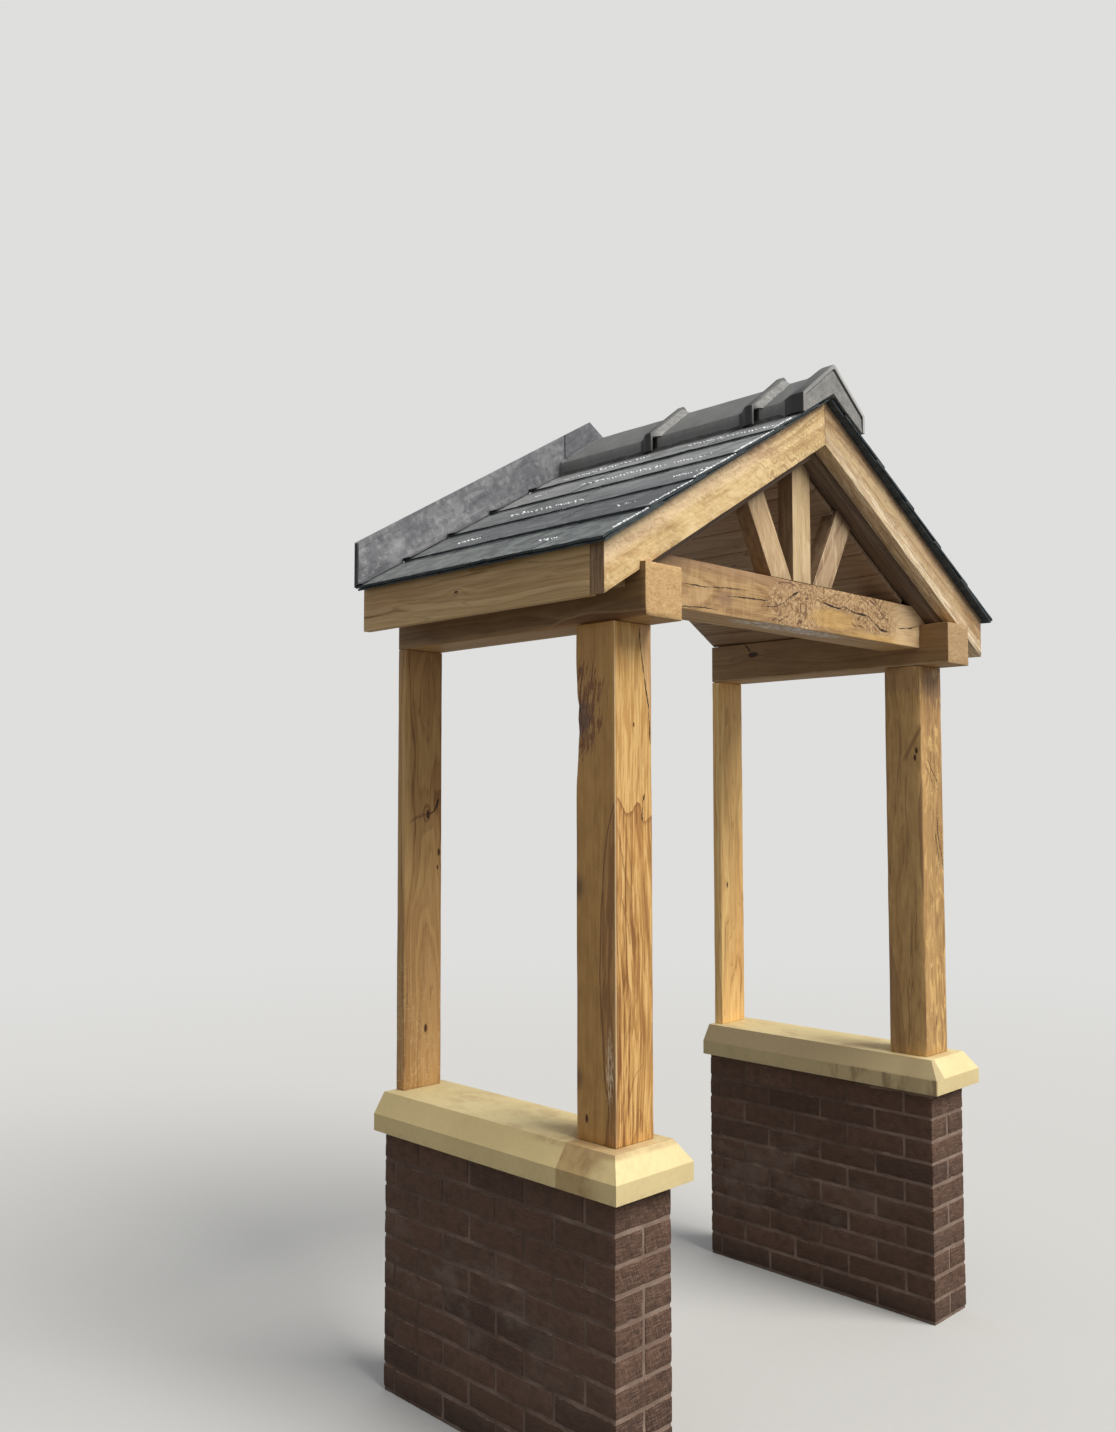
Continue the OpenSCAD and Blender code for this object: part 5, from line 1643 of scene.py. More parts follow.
def fr_post_extra(g, col, fac, slow):
    x, y, z = g.xyz(g.P)
    wob = g.noise(g.v("MULTIPLY", g.P, (40, 40, 12)), 1.0, 3.0, 0.6)
    w = g.m("SUBTRACT", wob, 0.5)
    on_left = g.span(x, 0.722, 0.716)
    on_front = g.span(y, -0.384, -0.391)
    # head of the post: dark water mark, lower on the left of the front face
    zt = g.m("MULTIPLY_ADD", w, 0.07, z)
    col = g.mix(g.m("MULTIPLY", g.span(g.m("MULTIPLY_ADD", g.m("SUBTRACT", x, 0.712), 0.42, zt), 2.120, 2.150), 0.80), col, g.mix(fac, (0.250, 0.140, 0.092), (0.120, 0.062, 0.042)))
    col = g.mix(g.m("MULTIPLY", on_left, 0.50), col, g.mix(g.span(wob, 0.35, 0.65), (0.700, 0.455, 0.190), (0.500, 0.305, 0.122)))
    quiet = g.noise(g.v("MULTIPLY", g.P, (120, 60, 7)), 1.0, 3.0, 0.6)
    col = g.mix(g.m("MULTIPLY", on_front, 0.42), col, g.mix(g.span(quiet, 0.40, 0.60), (0.560, 0.345, 0.142), (0.330, 0.185, 0.072)))
    bl = g.noise(g.v("MULTIPLY", g.P, (26, 26, 8)), 1.0, 3.0, 0.6, 1.4)
    col = g.mix(g.m("MULTIPLY", on_front, g.span(bl, 0.54, 0.66, 0, 0.58)), col, (0.320, 0.160, 0.068))
    col = g.mix(g.m("MULTIPLY", on_front, g.span(bl, 0.47, 0.36, 0, 0.62)), col, (0.86, 0.560, 0.220))
    curl = g.m("SINE", g.m("MULTIPLY", g.noise(g.v("MULTIPLY", g.P, (30, 30, 13)), 1.0, 2.0, 0.55, 1.6), 44.0))
    cz = g.m("MAXIMUM", soft_spot(g, (0.790, -0.394, 1.86), (0.07, 0.05, 0.10), wob, 1.0, 0.4), soft_spot(g, (0.825, -0.394, 1.62), (0.06, 0.05, 0.15), wob, 1.0, 0.4))
    col = g.mix(g.m("MULTIPLY", g.m("MULTIPLY", cz, on_front), g.span(curl, 0.2, 0.95, 0, 0.62)), col, (0.225, 0.105, 0.040))
    # paler, orange wood along the left of the front face
    col = g.mix(g.m("MULTIPLY", g.m("MULTIPLY", g.span(g.m("MULTIPLY_ADD", w, 0.03, x), 0.765, 0.735), on_front), 0.35), col, g.mix(fac, (0.68, 0.430, 0.185), (0.48, 0.260, 0.090)))
    # dark V running down and back from the front arris, and a dark wedge low at the back
    v = g.v("DOT_PRODUCT", g.v("SUBTRACT", g.P, (0.712, -0.361, 1.957)), (0.0, 0.866, 0.500))
    vv = g.m("MULTIPLY", g.span(g.m("ABSOLUTE", g.m("MULTIPLY_ADD", w, 0.010, v)), 0.011, 0.002), g.m("MULTIPLY", g.span(z, 1.880, 1.915), g.span(z, 2.07, 2.02)))
    col = g.mix(g.m("MULTIPLY", g.m("MULTIPLY", vv, on_left), 0.55), col, (0.185, 0.090, 0.045))
    yb, _ = g.curve(z, [(0.878, -0.315), (1.094, -0.299), (1.208, -0.272), (1.32, -0.250)])
    wedge = g.m("MULTIPLY", g.span(g.m("MULTIPLY_ADD", w, 0.008, g.m("SUBTRACT", y, yb)), -0.001, 0.003), g.span(z, 1.32, 1.28))
    col = g.mix(g.m("MULTIPLY", g.m("MULTIPLY", wedge, on_left), 0.42), col, (0.225, 0.120, 0.058))
    # waney dark arris
    ya, _ = g.curve(z, [(0.878, -0.390), (1.10, -0.387), (1.344, -0.389), (1.459, -0.386), (1.536, -0.380), (1.603, -0.379), (1.690, -0.376), (1.80, -0.386), (1.95, -0.391), (2.23, -0.392)])
    wane = g.m("MULTIPLY", g.span(g.m("SUBTRACT", g.m("MULTIPLY_ADD", w, 0.004, y), ya), 0.001, -0.002), on_left)
    col = g.mix(g.m("MULTIPLY", wane, 0.62), col, (0.225, 0.118, 0.055))
    # painted highlight: the front arris pale low down
    arris_highlight = g.span(g.m("ADD", g.m("ABSOLUTE", g.m("SUBTRACT", x, 0.712)), g.m("ABSOLUTE", g.m("ADD", y, 0.394))), 0.0060, 0.0030)
    return g.mix(g.m("MULTIPLY", g.m("MULTIPLY", arris_highlight, g.span(z, 1.32, 1.20)), 0.60), col, (0.86, 0.66, 0.38))


def truss_extra(g, col, fac, slow):
    """painted shade: the faces across the porch and the underside darkened brown"""
    n = g.noise(g.v("MULTIPLY", g.P, (60, 60, 9)), 1.0, 3.0, 0.6)
    shaded_side_faces = g.span(g.m("ABSOLUTE", g.normal()[1]), 0.75, 0.45)
    x, y, z = g.xyz(g.P)
    col = g.mix(g.span(n, 0.52, 0.66, 0, 0.42), col, (0.420, 0.262, 0.165))
    col = g.mix(g.span(n, 0.46, 0.34, 0, 0.42), col, (0.820, 0.640, 0.430))
    # painted shade where the heads meet the rafters, more on the right
    head = g.span(g.m("MULTIPLY_ADD", g.m("SUBTRACT", n, 0.5), 0.05, g.m("MULTIPLY_ADD", g.m("ABSOLUTE", x), T30, z)), 2.760, 2.806)
    head = g.m("MULTIPLY", head, g.span(x, -0.02, 0.045, 0.12, 0.78))
    col = g.mix(head, col, (0.135, 0.078, 0.042))
    return g.mix(g.m("MULTIPLY", shaded_side_faces, 0.80), col, g.mix(g.span(n, 0.35, 0.65), (0.260, 0.168, 0.098), (0.155, 0.095, 0.054)))


def foot_end(g, col, side):
    """the end of the board beside the fascia, dark and reddish with upright saw marks"""
    n = g.noise(g.v("MULTIPLY", g.P, (30, 300, 9)), 1.0, 3.0, 0.6)
    out_face = g.span(g.m("MULTIPLY", g.normal()[0], float(side)), 0.75, 0.9)
    return g.mix(g.m("MULTIPLY", out_face, 0.92), col, g.mix(g.span(n, 0.35, 0.65), (0.320, 0.185, 0.090), (0.120, 0.060, 0.030)))


def barge_right_extra(g, col, fac, slow):
    n = g.noise(g.P, 34.0, 3.0, 0.6, 1.2)
    d = g.v("LENGTH", g.v("MULTIPLY", g.v("SUBTRACT", g.P, (0.645, -0.484, 2.480)), (16, 10, 16)))
    spots = g.m("MULTIPLY", g.span(d, 1.1, 0.3), g.span(n, 0.52, 0.66))
    col = g.mix(g.m("MULTIPLY", spots, 0.6), col, (0.80, 0.64, 0.40))
    x, y, z = g.xyz(g.P)
    level = g.m("MULTIPLY_ADD", x, T30, z)
    turned = g.turn(g.P, (0, 0, 0), SLOPE[1])
    wave = g.m("SINE", g.m("MULTIPLY", g.noise(g.v("MULTIPLY", turned, (17, 17, 5)), 1.0, 2.0, 0.5, 0.5), 80.0))
    col = g.mix(g.span(wave, 0.20, 0.98, 0, 0.46), col, (0.290, 0.165, 0.085))
    bands = g.noise(g.v("MULTIPLY", turned, (62, 62, 3.5)), 1.0, 3.0, 0.6, 0.6)
    col = g.mix(g.span(bands, 0.50, 0.62, 0, 0.52), col, (0.330, 0.195, 0.108))
    col = g.mix(g.span(bands, 0.46, 0.36, 0, 0.35), col, (0.660, 0.500, 0.270))
    flecks = g.noise(g.v("MULTIPLY", turned, (150, 150, 11)), 1.0, 3.0, 0.62)
    low = g.m("MULTIPLY", g.span(g.m("MULTIPLY_ADD", g.m("SUBTRACT", n, 0.5), 0.04, level), 2.900, 2.868), g.span(g.xyz(slow)[0], 0.36, 0.52, 0.35, 1.0))
    col = g.mix(g.m("MULTIPLY", low, g.span(flecks, 0.47, 0.58, 0.22, 0.90)), col, (0.930, 0.780, 0.560))
    red = g.m("MULTIPLY", g.span(level, 2.920, 2.968), g.span(n, 0.30, 0.62, 0.40, 0.80))
    return foot_end(g, g.mix(red, col, (0.225, 0.138, 0.085)), 1)


def barge_left_extra(g, col, fac, slow):
    # pinkish sapwood and fine ripple along the upper edge, paler gold band below
    n = g.noise(g.v("MULTIPLY", g.P, (100, 40, 100)), 1.0, 3.0, 0.6, 1.0)
    x, y, z = g.xyz(g.P)
    wob = g.xyz(slow)[1]
    level = g.m("MULTIPLY_ADD", g.m("SUBTRACT", wob, 0.5), 0.045, g.m("MULTIPLY_ADD", x, -T30, z))
    upper = g.span(level, 2.905, 2.935)
    zone = g.m("MULTIPLY", upper, g.span(x, -0.12, -0.45))
    col = g.mix(g.m("MULTIPLY", zone, 0.50), col, (0.92, 0.700, 0.470))
    col = g.mix(g.m("MULTIPLY", g.m("MULTIPLY", zone, g.span(n, 0.52, 0.66)), 0.55), col, (0.86, 0.69, 0.44))
    col = g.mix(g.m("MULTIPLY", g.m("MULTIPLY", upper, g.span(n, 0.46, 0.34)), 0.25), col, (0.36, 0.200, 0.110))
    band = g.m("MULTIPLY", g.span(level, 2.895, 2.878), g.span(level, 2.845, 2.860))
    col = g.mix(g.m("MULTIPLY", band, 0.35), col, (0.74, 0.545, 0.265))
    # reddish stain against the slates near the middle
    red = soft_spot(g, (-0.33, -0.484, 2.765), (0.14, 0.05, 0.045), wob, 0.9, 0.2)
    col = g.mix(g.m("MULTIPLY", red, 0.38), col, (0.38, 0.200, 0.115))
    # short curly figure all along
    curl = g.noise(g.v("MULTIPLY", g.v("ADD", g.P, g.v("SCALE", g.v("SUBTRACT", slow, (0.5, 0.5, 0.5)), scale=0.06)), (24, 24, 58)), 1.0, 4.0, 0.64, 1.4)
    col = g.mix(g.span(curl, 0.53, 0.64, 0, 0.38), col, (0.410, 0.240, 0.110))
    col = g.mix(g.span(curl, 0.47, 0.37, 0, 0.40), col, (0.95, 0.75, 0.45))
    # swirls of burr grain toward the apex
    sw = g.m("SINE", g.m("MULTIPLY", g.noise(g.v("MULTIPLY", g.P, (10, 10, 13)), 1.0, 2.0, 0.50, 0.6), 95.0))
    apex = g.m("MULTIPLY", g.span(x, -0.42, -0.28), g.span(g.xyz(slow)[0], 0.30, 0.45, 0.55, 1.0))
    col = g.mix(g.m("MULTIPLY", apex, g.span(sw, 0.30, 0.98, 0, 0.62)), col, (0.360, 0.200, 0.085))
    # brown against the slates near the apex
    rust = g.m("MULTIPLY", g.span(level, 2.942, 2.962), g.span(x, -0.55, -0.35))
    col = g.mix(g.m("MULTIPLY", rust, g.span(curl, 0.36, 0.60, 0.20, 0.62)), col, (0.330, 0.175, 0.095))
    return foot_end(g, col, -1)


def fascia_extra(g, col, fac, slow):
    x, y, z = g.xyz(g.P)
    zz = g.m("MULTIPLY_ADD", g.m("SUBTRACT", g.xyz(slow)[0], 0.5), 0.030, z)
    band = g.span(zz, 2.311, 2.306)
    return g.mix(g.m("MULTIPLY", band, 0.62), col, g.mix(g.m("MULTIPLY", fac, 0.7), (0.72, 0.515, 0.255), (0.46, 0.29, 0.125)))


PLATE_END_L = ((0.38, 0.205, 0.080), (0.62, 0.395, 0.180), (0.80, 0.565, 0.300))
PLATE_END_R = ((0.30, 0.175, 0.085), (0.48, 0.315, 0.160), (0.64, 0.455, 0.250))


def plate_extra(side):
    """Painted shade: side faces darkened brown; paler along the foot, painted light on the left plate and sawn fibres
    on the right
    """
    def extra(g, col, fac, slow):
        x, y, z = g.xyz(g.P)
        n = g.noise(g.v("MULTIPLY", g.P, (30, 9, 30)), 1.0, 3.0, 0.6)
        nx = g.normal()[0]
        shaded_side_faces = g.span(g.m("ABSOLUTE", nx), 0.5, 0.8)
        # painted shade on the side faces
        col = g.mix(g.m("MULTIPLY", shaded_side_faces, 0.60), col, g.mix(g.span(n, 0.35, 0.65), (0.118, 0.068, 0.034), (0.066, 0.036, 0.019)) if side < 0 else g.mix(g.span(n, 0.35, 0.65), (0.225, 0.130, 0.064), (0.150, 0.084, 0.039)))
        if side < 0:
            # painted light: a paler band along the foot of the side faces
            foot = g.m("MULTIPLY", g.span(g.m("MULTIPLY_ADD", g.m("SUBTRACT", n, 0.5), 0.02, z), 2.245, 2.236), shaded_side_faces)
            col = g.mix(g.m("MULTIPLY", foot, 0.40), col, (0.42, 0.260, 0.120))
            # reddish wane that swells over the front post, with a painted highlight along its upper edge
            zw, _ = g.curve(y, [(-0.500, 2.244), (-0.411, 2.248), (-0.368, 2.250), (-0.315, 2.254), (-0.221, 2.247), (-0.159, 2.234), (-0.100, 2.222), (0.00, 2.214)])
            below = g.m("SUBTRACT", zw, g.m("MULTIPLY_ADD", g.m("SUBTRACT", n, 0.5), 0.012, z))
            outer = g.span(nx, -0.30, -0.60)
            col = g.mix(g.m("MULTIPLY", g.m("MULTIPLY", g.span(below, 0.0, 0.004), outer), 0.62), col, g.mix(n, (0.300, 0.130, 0.052), (0.130, 0.056, 0.026)))
            col = g.mix(g.m("MULTIPLY", g.m("MULTIPLY", g.span(g.m("ABSOLUTE", below), 0.0045, 0.0012), outer), 0.45), col, (0.470, 0.300, 0.150))
        else:
            foot = g.m("MULTIPLY", g.span(g.m("MULTIPLY_ADD", g.m("SUBTRACT", n, 0.5), 0.012, z), 2.236, 2.230), shaded_side_faces)
            col = g.mix(g.m("MULTIPLY", foot, 0.65), col, (0.60, 0.440, 0.270))
        return col
    return extra


F = -0.394
FLAME = (0.270, 0.108, 0.032)
CURL = (0.120, 0.056, 0.026)


def strokes(colour, amount, width, *lines):
    return [([(x, F, z) for x, z in pts], width, colour, amount) for pts in lines]


oak_mats = {
    "front_left_post": oak(
        "oak_front_left_post", UP, (-0.800, -0.205, 0), POST_L, POST_D, 1.0, 0.0060, 0.045, 0.010, 1.0, late=0.22,
        knots=[((-0.783, F, 1.957), 0.0035, 0.6), ((-0.857, -0.2900, 0.937), 0.006, 1.2), ((-0.744, F, 1.740), 0.030, 2.0, 0.45, False)],
        cracks=[([(-0.759, F, 2.226), (-0.756, F, 2.172), (-0.747, F, 2.122), (-0.738, F, 2.067), (-0.726, F, 2.016), (-0.722, F, 1.976), (-0.7185, F, 1.905)], 0.0019),
                ([(-0.741, F, 1.778), (-0.7475, F, 1.748), (-0.752, F, 1.722), (-0.750, F, 1.702)], 0.0020)],
        marks=strokes(FLAME, 0.70, 0.0042, [(-0.835, 1.512), (-0.821, 1.470), (-0.808, 1.432), (-0.801, 1.385)],
                      [(-0.809, 1.291), (-0.800, 1.238), (-0.806, 1.187), (-0.818, 1.137), (-0.824, 1.097)],
                      [(-0.829, 1.283), (-0.837, 1.212), (-0.841, 1.140), (-0.846, 1.069), (-0.850, 0.998)],
                      [(-0.751, 1.083), (-0.763, 1.069), (-0.783, 1.049), (-0.799, 1.016), (-0.811, 0.982), (-0.823, 0.938), (-0.835, 0.889)],
                      [(-0.815, 1.085), (-0.824, 1.035), (-0.831, 0.985), (-0.839, 0.935)],
                      [(-0.764, 0.950), (-0.770, 0.923), (-0.792, 0.891), (-0.800, 0.879)],
                      [(-0.776, 1.519), (-0.780, 1.472), (-0.773, 1.429)],
                      [(-0.849, 1.694), (-0.834, 1.635), (-0.824, 1.585), (-0.805, 1.535)],
                      [(-0.826, 1.718), (-0.812, 1.659), (-0.798, 1.594), (-0.791, 1.535)],
                      [(-0.772, 0.965), (-0.760, 0.940), (-0.758, 0.900)],
                      [(-0.787, 1.380), (-0.782, 1.300), (-0.786, 1.220), (-0.795, 1.150)]),
        extra=fl_post_extra, checks=0.30),
    "front_right_post": oak(
        "oak_front_right_post", UP, (0.865, -0.335, 0), (0.54, 0.325, 0.122), (0.30, 0.155, 0.056), 2.0, 0.0062, 0.050, 0.012, 1.05,
        knots=[((0.712, -0.374, 1.929), 0.0060, 2.5), ((0.712, -0.368, 1.904), 0.0060, 2.0), ((0.712, -0.340, 1.900), 0.045, 3.0, 0.35, False), ((0.785, F, 1.850), 0.022, 2.5, 0.4, False),
               ((0.712, -0.388, 1.040), 0.0030, 0.5)],
        cracks=[([(0.733, F, 1.888), (0.764, F, 1.846), (0.792, F, 1.812)], 0.0022), ([(0.748, F, 1.905), (0.784, F, 1.858), (0.812, F, 1.828), (0.818, F, 1.803)], 0.0018),
                ([(0.812, F, 1.700), (0.818, F, 1.630), (0.839, F, 1.570), (0.851, F, 1.505)], 0.0019), ([(0.792, F, 1.645), (0.810, F, 1.591), (0.824, F, 1.525)], 0.0015),
                ([(0.788, F, 1.015), (0.782, F, 0.985), (0.778, F, 0.958)], 0.0018)],
        marks=[([(0.712, -0.300, 2.05), (0.712, -0.312, 1.95), (0.712, -0.300, 1.84), (0.712, -0.285, 1.70)], 0.0045, (0.205, 0.105, 0.050), 0.55),
               ([(0.712, -0.345, 1.86), (0.712, -0.330, 1.76), (0.712, -0.335, 1.62), (0.712, -0.322, 1.50)], 0.0050, (0.205, 0.105, 0.050), 0.45),
               ([(0.712, -0.315, 1.12), (0.712, -0.330, 1.02), (0.712, -0.325, 0.90)], 0.0040, (0.190, 0.095, 0.045), 0.55)],
        extra=fr_post_extra, checks=0.40),
    "rear_left_post": oak(
        "oak_rear_left_post", UP, (-0.770, 0.640, 0), (0.56, 0.345, 0.135), (0.33, 0.175, 0.062), 3.0, 0.0060, 0.045, 0.012, 0.95,
        knots=[((-0.768, 0.482, 1.715), 0.008, 2.5), ((-0.723, 0.482, 1.596), 0.0065, 1.5), ((-0.728, 0.482, 1.549), 0.004, 1.0), ((-0.773, 0.482, 1.056), 0.007, 1.0)],
        cracks=[([(-0.772, 0.482, 1.713), (-0.750, 0.482, 1.721), (-0.734, 0.482, 1.737), (-0.726, 0.482, 1.765)], 0.0030)],
        marks=[([(-0.838, 0.482, 1.692), (-0.803, 0.482, 1.708), (-0.774, 0.482, 1.714)], 0.0075, (0.140, 0.070, 0.036), 0.70)],
        extra=rl_post_extra, checks=0.30),
    # painted light: the rear right post's oak is far paler than the other posts'
    "rear_right_post": oak("oak_rear_right_post", UP, (0.800, 0.650, 0), (0.97, 0.630, 0.250), (0.62, 0.345, 0.122), 4.0, 0.0062, 0.045, 0.012, 1.0, checks=0.4,
                           knots=[((0.752, 0.482, 1.42), 0.006, 1.5)]),
    "left_wall_plate": oak("oak_left_plate", ALONG_Y, (-0.760, 0, 2.215), PLATE_L, PLATE_D, 5.0, 0.0062, 0.040, 0.010, 0.8, checks=0.3, streak=0.7, late=0.18,
                           extra=plate_extra(-1), end=PLATE_END_L),
    "right_wall_plate": oak("oak_right_plate", ALONG_Y, (0.800, 0, 2.390), PLATE_L, PLATE_D, 6.0, 0.0062, 0.040, 0.010, 0.8, extra=plate_extra(1), end=PLATE_END_R, streak=0.7, late=0.18,
                            knots=[((0.712, 0.318, 2.322), 0.013, 3.0)], cracks=[([(0.712, 0.330, 2.335), (0.712, 0.352, 2.362)], 0.0045)], checks=0.4),
    "front_tie_beam": oak(
        "oak_tie_beam", ALONG_X, (0, -0.265, 2.335), TIE_L, TIE_D, 7.0, 0.0062, 0.034, 0.008, 0.95, late=0.20,
        knots=[((-0.011, F, 2.367), 0.060, 3.0, 0.8, False), ((0.066, F, 2.415), 0.050, 2.0, 0.7, False), ((0.488, F, 2.345), 0.022, 5.0, 0.75, False),
               ((-0.362, F, 2.330), 0.020, 1.5, 0.6, False)],
        cracks=[([(-0.580, F, 2.358), (-0.504, F, 2.357), (-0.432, F, 2.362), (-0.357, F, 2.367), (-0.269, F, 2.372)], 0.0017),
                ([(-0.390, F, 2.342), (-0.303, F, 2.347), (-0.247, F, 2.349), (-0.173, F, 2.354)], 0.0015),
                ([(-0.190, F, 2.334), (-0.144, F, 2.339), (-0.108, F, 2.351), (-0.072, F, 2.371), (-0.018, F, 2.398)], 0.0030),
                ([(-0.590, F, 2.291), (-0.515, F, 2.296), (-0.420, F, 2.299)], 0.0012),
                ([(0.105, F, 2.379), (0.168, F, 2.373), (0.208, F, 2.369), (0.235, F, 2.378), (0.269, F, 2.369), (0.331, F, 2.364), (0.366, F, 2.364), (0.401, F, 2.352), (0.436, F, 2.336), (0.472, F, 2.323), (0.515, F, 2.324)], 0.0031),
                ([(0.368, F, 2.429), (0.403, F, 2.413), (0.438, F, 2.394), (0.474, F, 2.375), (0.512, F, 2.346)], 0.0021),
                ([(0.562, F, 2.341), (0.639, F, 2.348), (0.712, F, 2.365)], 0.0016)],
        marks=strokes(CURL, 0.92, 0.0038, [(-0.162, 2.295), (-0.133, 2.308), (-0.108, 2.328)], [(-0.133, 2.291), (-0.097, 2.309), (-0.073, 2.318)],
                      [(-0.023, 2.380), (-0.011, 2.353), (-0.024, 2.316)], [(0.015, 2.384), (0.020, 2.349), (0.000, 2.304)],
                      [(-0.131, 2.403), (-0.083, 2.419), (-0.034, 2.414)], [(-0.022, 2.419), (0.028, 2.426), (0.066, 2.416)],
                      [(0.316, 2.328), (0.350, 2.320)], [(0.358, 2.350), (0.372, 2.322)], [(0.275, 2.334), (0.308, 2.316)],
                      [(0.444, 2.356), (0.474, 2.367), (0.510, 2.355)], [(0.459, 2.342), (0.480, 2.337), (0.505, 2.336)],
                      [(0.319, 2.430), (0.374, 2.406), (0.416, 2.384), (0.452, 2.365)], [(0.405, 2.425), (0.446, 2.407), (0.496, 2.377)]),
        extra=tie_extra, checks=0.35),
    "king_post": oak("oak_king_post", UP, (0.01, -0.30, 0), (0.62, 0.455, 0.250), (0.38, 0.240, 0.118), 8.0, 0.0055, 0.030, 0.012, 0.9, checks=0.2, extra=truss_extra),
    "left_strut": oak("oak_left_strut", tilt_in_xz(-29.2), (-0.16, -0.300, 2.50), (0.64, 0.470, 0.275), (0.40, 0.250, 0.130), 9.0, 0.0055, 0.030, 0.012, 0.9, checks=0.2, extra=truss_extra),
    "right_strut": oak("oak_right_strut", tilt_in_xz(29.2), (0.16, -0.305, 2.50), (0.50, 0.355, 0.215), (0.31, 0.190, 0.105), 10.0, 0.0055, 0.030, 0.012, 0.9, checks=0.2, extra=truss_extra),
    # painted shade: the front rafters take a near-black copy of the oak
    "front_left_rafter": oak("oak_left_rafter", SLOPE[-1], (-0.4, -0.35, 2.62), (0.172, 0.116, 0.078), (0.098, 0.064, 0.043), 11.0, 0.0062, 0.030, 0.010, 1.0),
    "front_right_rafter": oak("oak_right_rafter", SLOPE[1], (0.4, -0.35, 2.62), (0.172, 0.116, 0.078), (0.098, 0.064, 0.043), 12.0, 0.0062, 0.030, 0.010, 1.0),
    "left_bargeboard": oak("oak_left_bargeboard", SLOPE[-1], (-0.5, -0.350, 2.590), BARGE_L, BARGE_D, 13.0, 0.0075, 0.055, 0.020, 0.95,
                           knots=[((-0.40, -0.484, 2.70), 0.05, 3.0, 0.4, False), ((-0.75, -0.484, 2.49), 0.06, 3.0, 0.35, False)], extra=barge_left_extra, checks=0.15),
    "right_bargeboard": oak("oak_right_bargeboard", SLOPE[1], (0.5, -0.380, 2.650), (0.56, 0.390, 0.205), (0.33, 0.190, 0.085), 14.0, 0.0070, 0.045, 0.016, 1.0,
                            knots=[((0.30, -0.484, 2.74), 0.05, 2.5, 0.35, False)], extra=barge_right_extra, checks=0.2),
    "left_fascia": oak("oak_left_fascia", ALONG_Y, (-0.880, 0, 2.400), FASCIA_L, FASCIA_D, 15.0, 0.0068, 0.036, 0.012, 0.95,
                       knots=[((-0.991, 0.083, 2.341), 0.0045, 2.0), ((-0.991, -0.285, 2.343), 0.004, 1.0, 0.45, False), ((-0.991, 0.36, 2.325), 0.004, 1.0, 0.45, False)], extra=fascia_extra, checks=0.25),
    "right_fascia": oak("oak_right_fascia", ALONG_Y, (0.880, 0, 2.400), FASCIA_L, FASCIA_D, 16.0, 0.0068, 0.036, 0.012, 0.95,
                        knots=[((0.991, -0.10, 2.345), 0.006, 2.0)], extra=fascia_extra, checks=0.25),
    "ceiling_left": oak("oak_ceiling_left", ALONG_Y, (-0.2, 0, 2.55), CEIL_L, CEIL_D, 17.0, 0.0070, 0.060, 0.010, 0.9,
                        knots=[((-0.30, -0.10, 2.606), 0.010, 2.0)], checks=0.3),
    "ceiling_right": oak("oak_ceiling_right", ALONG_Y, (0.2, 0, 2.50), CEIL_RL, CEIL_RD, 18.0, 0.0070, 0.060, 0.010, 0.9,
                         knots=[((0.331, 0.12, 2.588), 0.011, 2.5), ((0.250, 0.05, 2.635), 0.010, 2.5)], checks=0.3),
}
MATS["ceiling_left"], MATS["ceiling_right"] = oak_mats.pop("ceiling_left"), oak_mats.pop("ceiling_right")

for s in (-1, 1):
    brick_wall(s)

# copings: the CAD stones with their arrises eased
for s, nm in ((-1, "left"), (1, "right")):
    node = NODES[nm + "_coping"]
    node.data.materials.clear()
    node.data.materials.append(stone_material(s))
    bev = node.modifiers.new("eased", "BEVEL")
    bev.width, bev.segments, bev.limit_method, bev.angle_limit, bev.harden_normals = 0.0028, 3, "ANGLE", R(15), False


def fl_post_shape(p, n):
    """rough burr that breaks the back arris of the left face"""
    d = Vector(((p.x + 0.857) * 14, (p.y + 0.258) * 15, (p.z - 1.962) * 7)).length
    if d < 1.25 and p.x < -0.80 or (d < 1.25 and p.y > -0.275):
        k = max(0.0, 1 - d / 1.25)
        k = k * k * (3 - 2 * k)
        w = 0.5 + 0.5 * mn.noise(Vector((p.x * 40, p.y * 60, p.z * 26)))
        w2 = 0.5 + 0.5 * mn.noise(Vector((p.x * 90, p.y * 110, p.z * 75)))
        if p.x < -0.85:
            p.x += k * (0.0075 * w + 0.0035 * w2)
        if p.y > -0.262:
            p.y -= k * (0.010 * w + 0.004 * w2)
    return p


def left_plate_shape(p, n):
    """waney lower outer arris over the front post"""
    a = math.exp(-((p.y + 0.395) / 0.085) ** 2) * 0.018 + math.exp(-((p.y + 0.20) / 0.12) ** 2) * 0.008
    if p.x < -0.83 and p.z < 2.262:
        fx = max(0, 1 - (p.x + 0.857) / 0.022)
        fz = max(0, 1 - (p.z - 2.226) / 0.034)
        k = min(fx, 1) * min(fz, 1)
        p.x += k * a * 0.9
        p.z += k * a * 0.9
    return p


def right_plate_shape(p, n):
    """ragged inner lower arris"""
    if abs(p.x - 0.712) < 0.012 and p.z < 2.240:
        k = max(0.0, 1 - (p.z - 2.226) / 0.014)
        p.x += k * 0.0055 * abs(mn.noise(Vector((3, p.y * 46, 1))))
        p.z += k * 0.0060 * abs(mn.noise(Vector((9, p.y * 38, 1))))
    return p


def fr_post_shape(p, n):
    """waney arris between the inner and front faces"""
    if p.x < 0.730 and p.y < -0.376:
        k = max(0, 1 - (p.x - 0.712) / 0.018) * max(0, 1 - (p.y + 0.394) / 0.018)
        a = 0.0045 + 0.0085 * max(0.0, mn.noise(Vector((2, 4, p.z * 5.5))) + 0.15)
        p.x += k * a * 0.6
        p.y += k * a * 0.6
    if p.x > 0.846 and p.y < -0.38:
        p.x -= 0.0030 * max(0.0, mn.noise(Vector((7, 1, p.z * 9))) + 0.2)
    return p


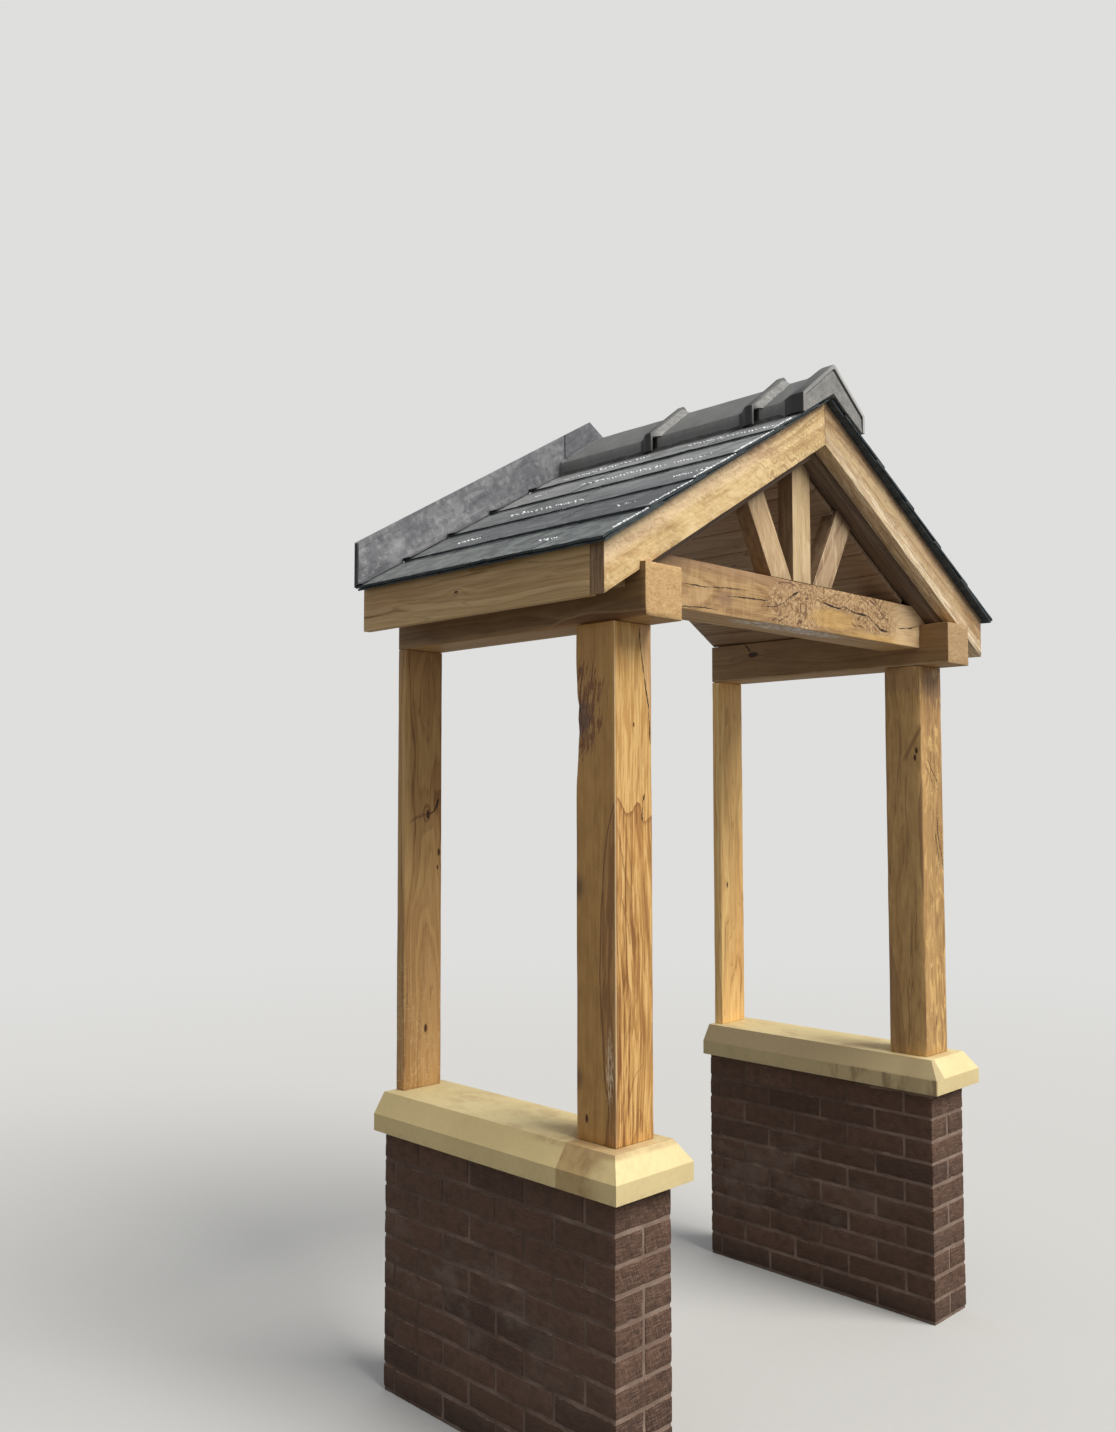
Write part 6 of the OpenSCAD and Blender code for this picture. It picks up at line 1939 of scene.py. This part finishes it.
def tie_shape(p, n):
    """wane on the lower front arris at the left and under the beam"""
    if p.z < 2.300 and -0.50 < p.x < 0.30:
        w = math.exp(-((p.x + 0.10) / 0.20) ** 2)
        if p.y > -0.345:
            p.z += w * 0.004 * (0.5 + 0.5 * mn.noise(Vector((p.x * 14, p.y * 20, 3))))
    return p


AX, AY, AZ = (1, 0, 0), (0, 1, 0), (0, 0, 1)
SL, SR = (C30, 0, S30), (C30, 0, -S30)
sl, cl = math.sin(R(29.2)), math.cos(R(29.2))
timber = [
    ("front_left_post", AZ, dict(steps=(0.018, 0.016), shape=fl_post_shape)),
    ("front_right_post", AZ, dict(steps=(0.030, 0.020), shape=fr_post_shape)),
    ("rear_left_post", AZ, dict()),
    ("rear_right_post", AZ, dict()),
    ("left_wall_plate", AY, dict(steps=(0.020, 0.016), shape=left_plate_shape)),
    ("right_wall_plate", AY, dict(steps=(0.016, 0.020), shape=right_plate_shape)),
    ("front_tie_beam", AX, dict(steps=(0.040, 0.020), shape=tie_shape)),
    ("king_post", AZ, dict(bevel=0.0016, arris=0.0008)),
    ("left_strut", (-sl, 0, cl), dict(bevel=0.0016, arris=0.0008)),
    ("right_strut", (sl, 0, cl), dict(bevel=0.0016, arris=0.0008)),
    ("front_left_rafter", SL, dict(bevel=0.0016, arris=0.0008)),
    ("front_right_rafter", SR, dict(bevel=0.0016, arris=0.0008)),
    ("left_bargeboard", SL, dict(bevel=0.0016, arris=0.0010)),
    ("right_bargeboard", SR, dict(bevel=0.0016, arris=0.0010)),
    ("left_fascia", AY, dict(bevel=0.0014, arris=0.0008)),
    ("right_fascia", AY, dict(bevel=0.0014, arris=0.0008)),
]
for i, (node, along, opts) in enumerate(timber):
    worked(node, node + "_timber", oak_mats[node], "oak", along, seed=i + 1, **opts)

soft = {-1: leaning_softwood("rafter_timber_left", SLOPE[-1]), 1: leaning_softwood("rafter_timber_right", SLOPE[1])}
for node, side in (("middle_left_rafter", -1), ("rear_left_rafter", -1), ("middle_right_rafter", 1), ("rear_right_rafter", 1)):
    worked(node, node + "_timber", soft[side], "roof_timber", SL if side < 0 else SR, steps=(0.12, 0.06), bevel=0.0015, arris=0.0006, seed=40 + side)
for node in ("ridge_board", "left_eaves_board", "right_eaves_board"):
    worked(node, node + "_timber", MATS["softwood"], "roof_timber", AY, steps=(0.12, 0.06), bevel=0.0012, arris=0.0006, seed=50)

for s in (-1, 1):
    ceiling(s)
    roof_deck(s)
    slate_slope(s)
ridge()
lead()
floor()
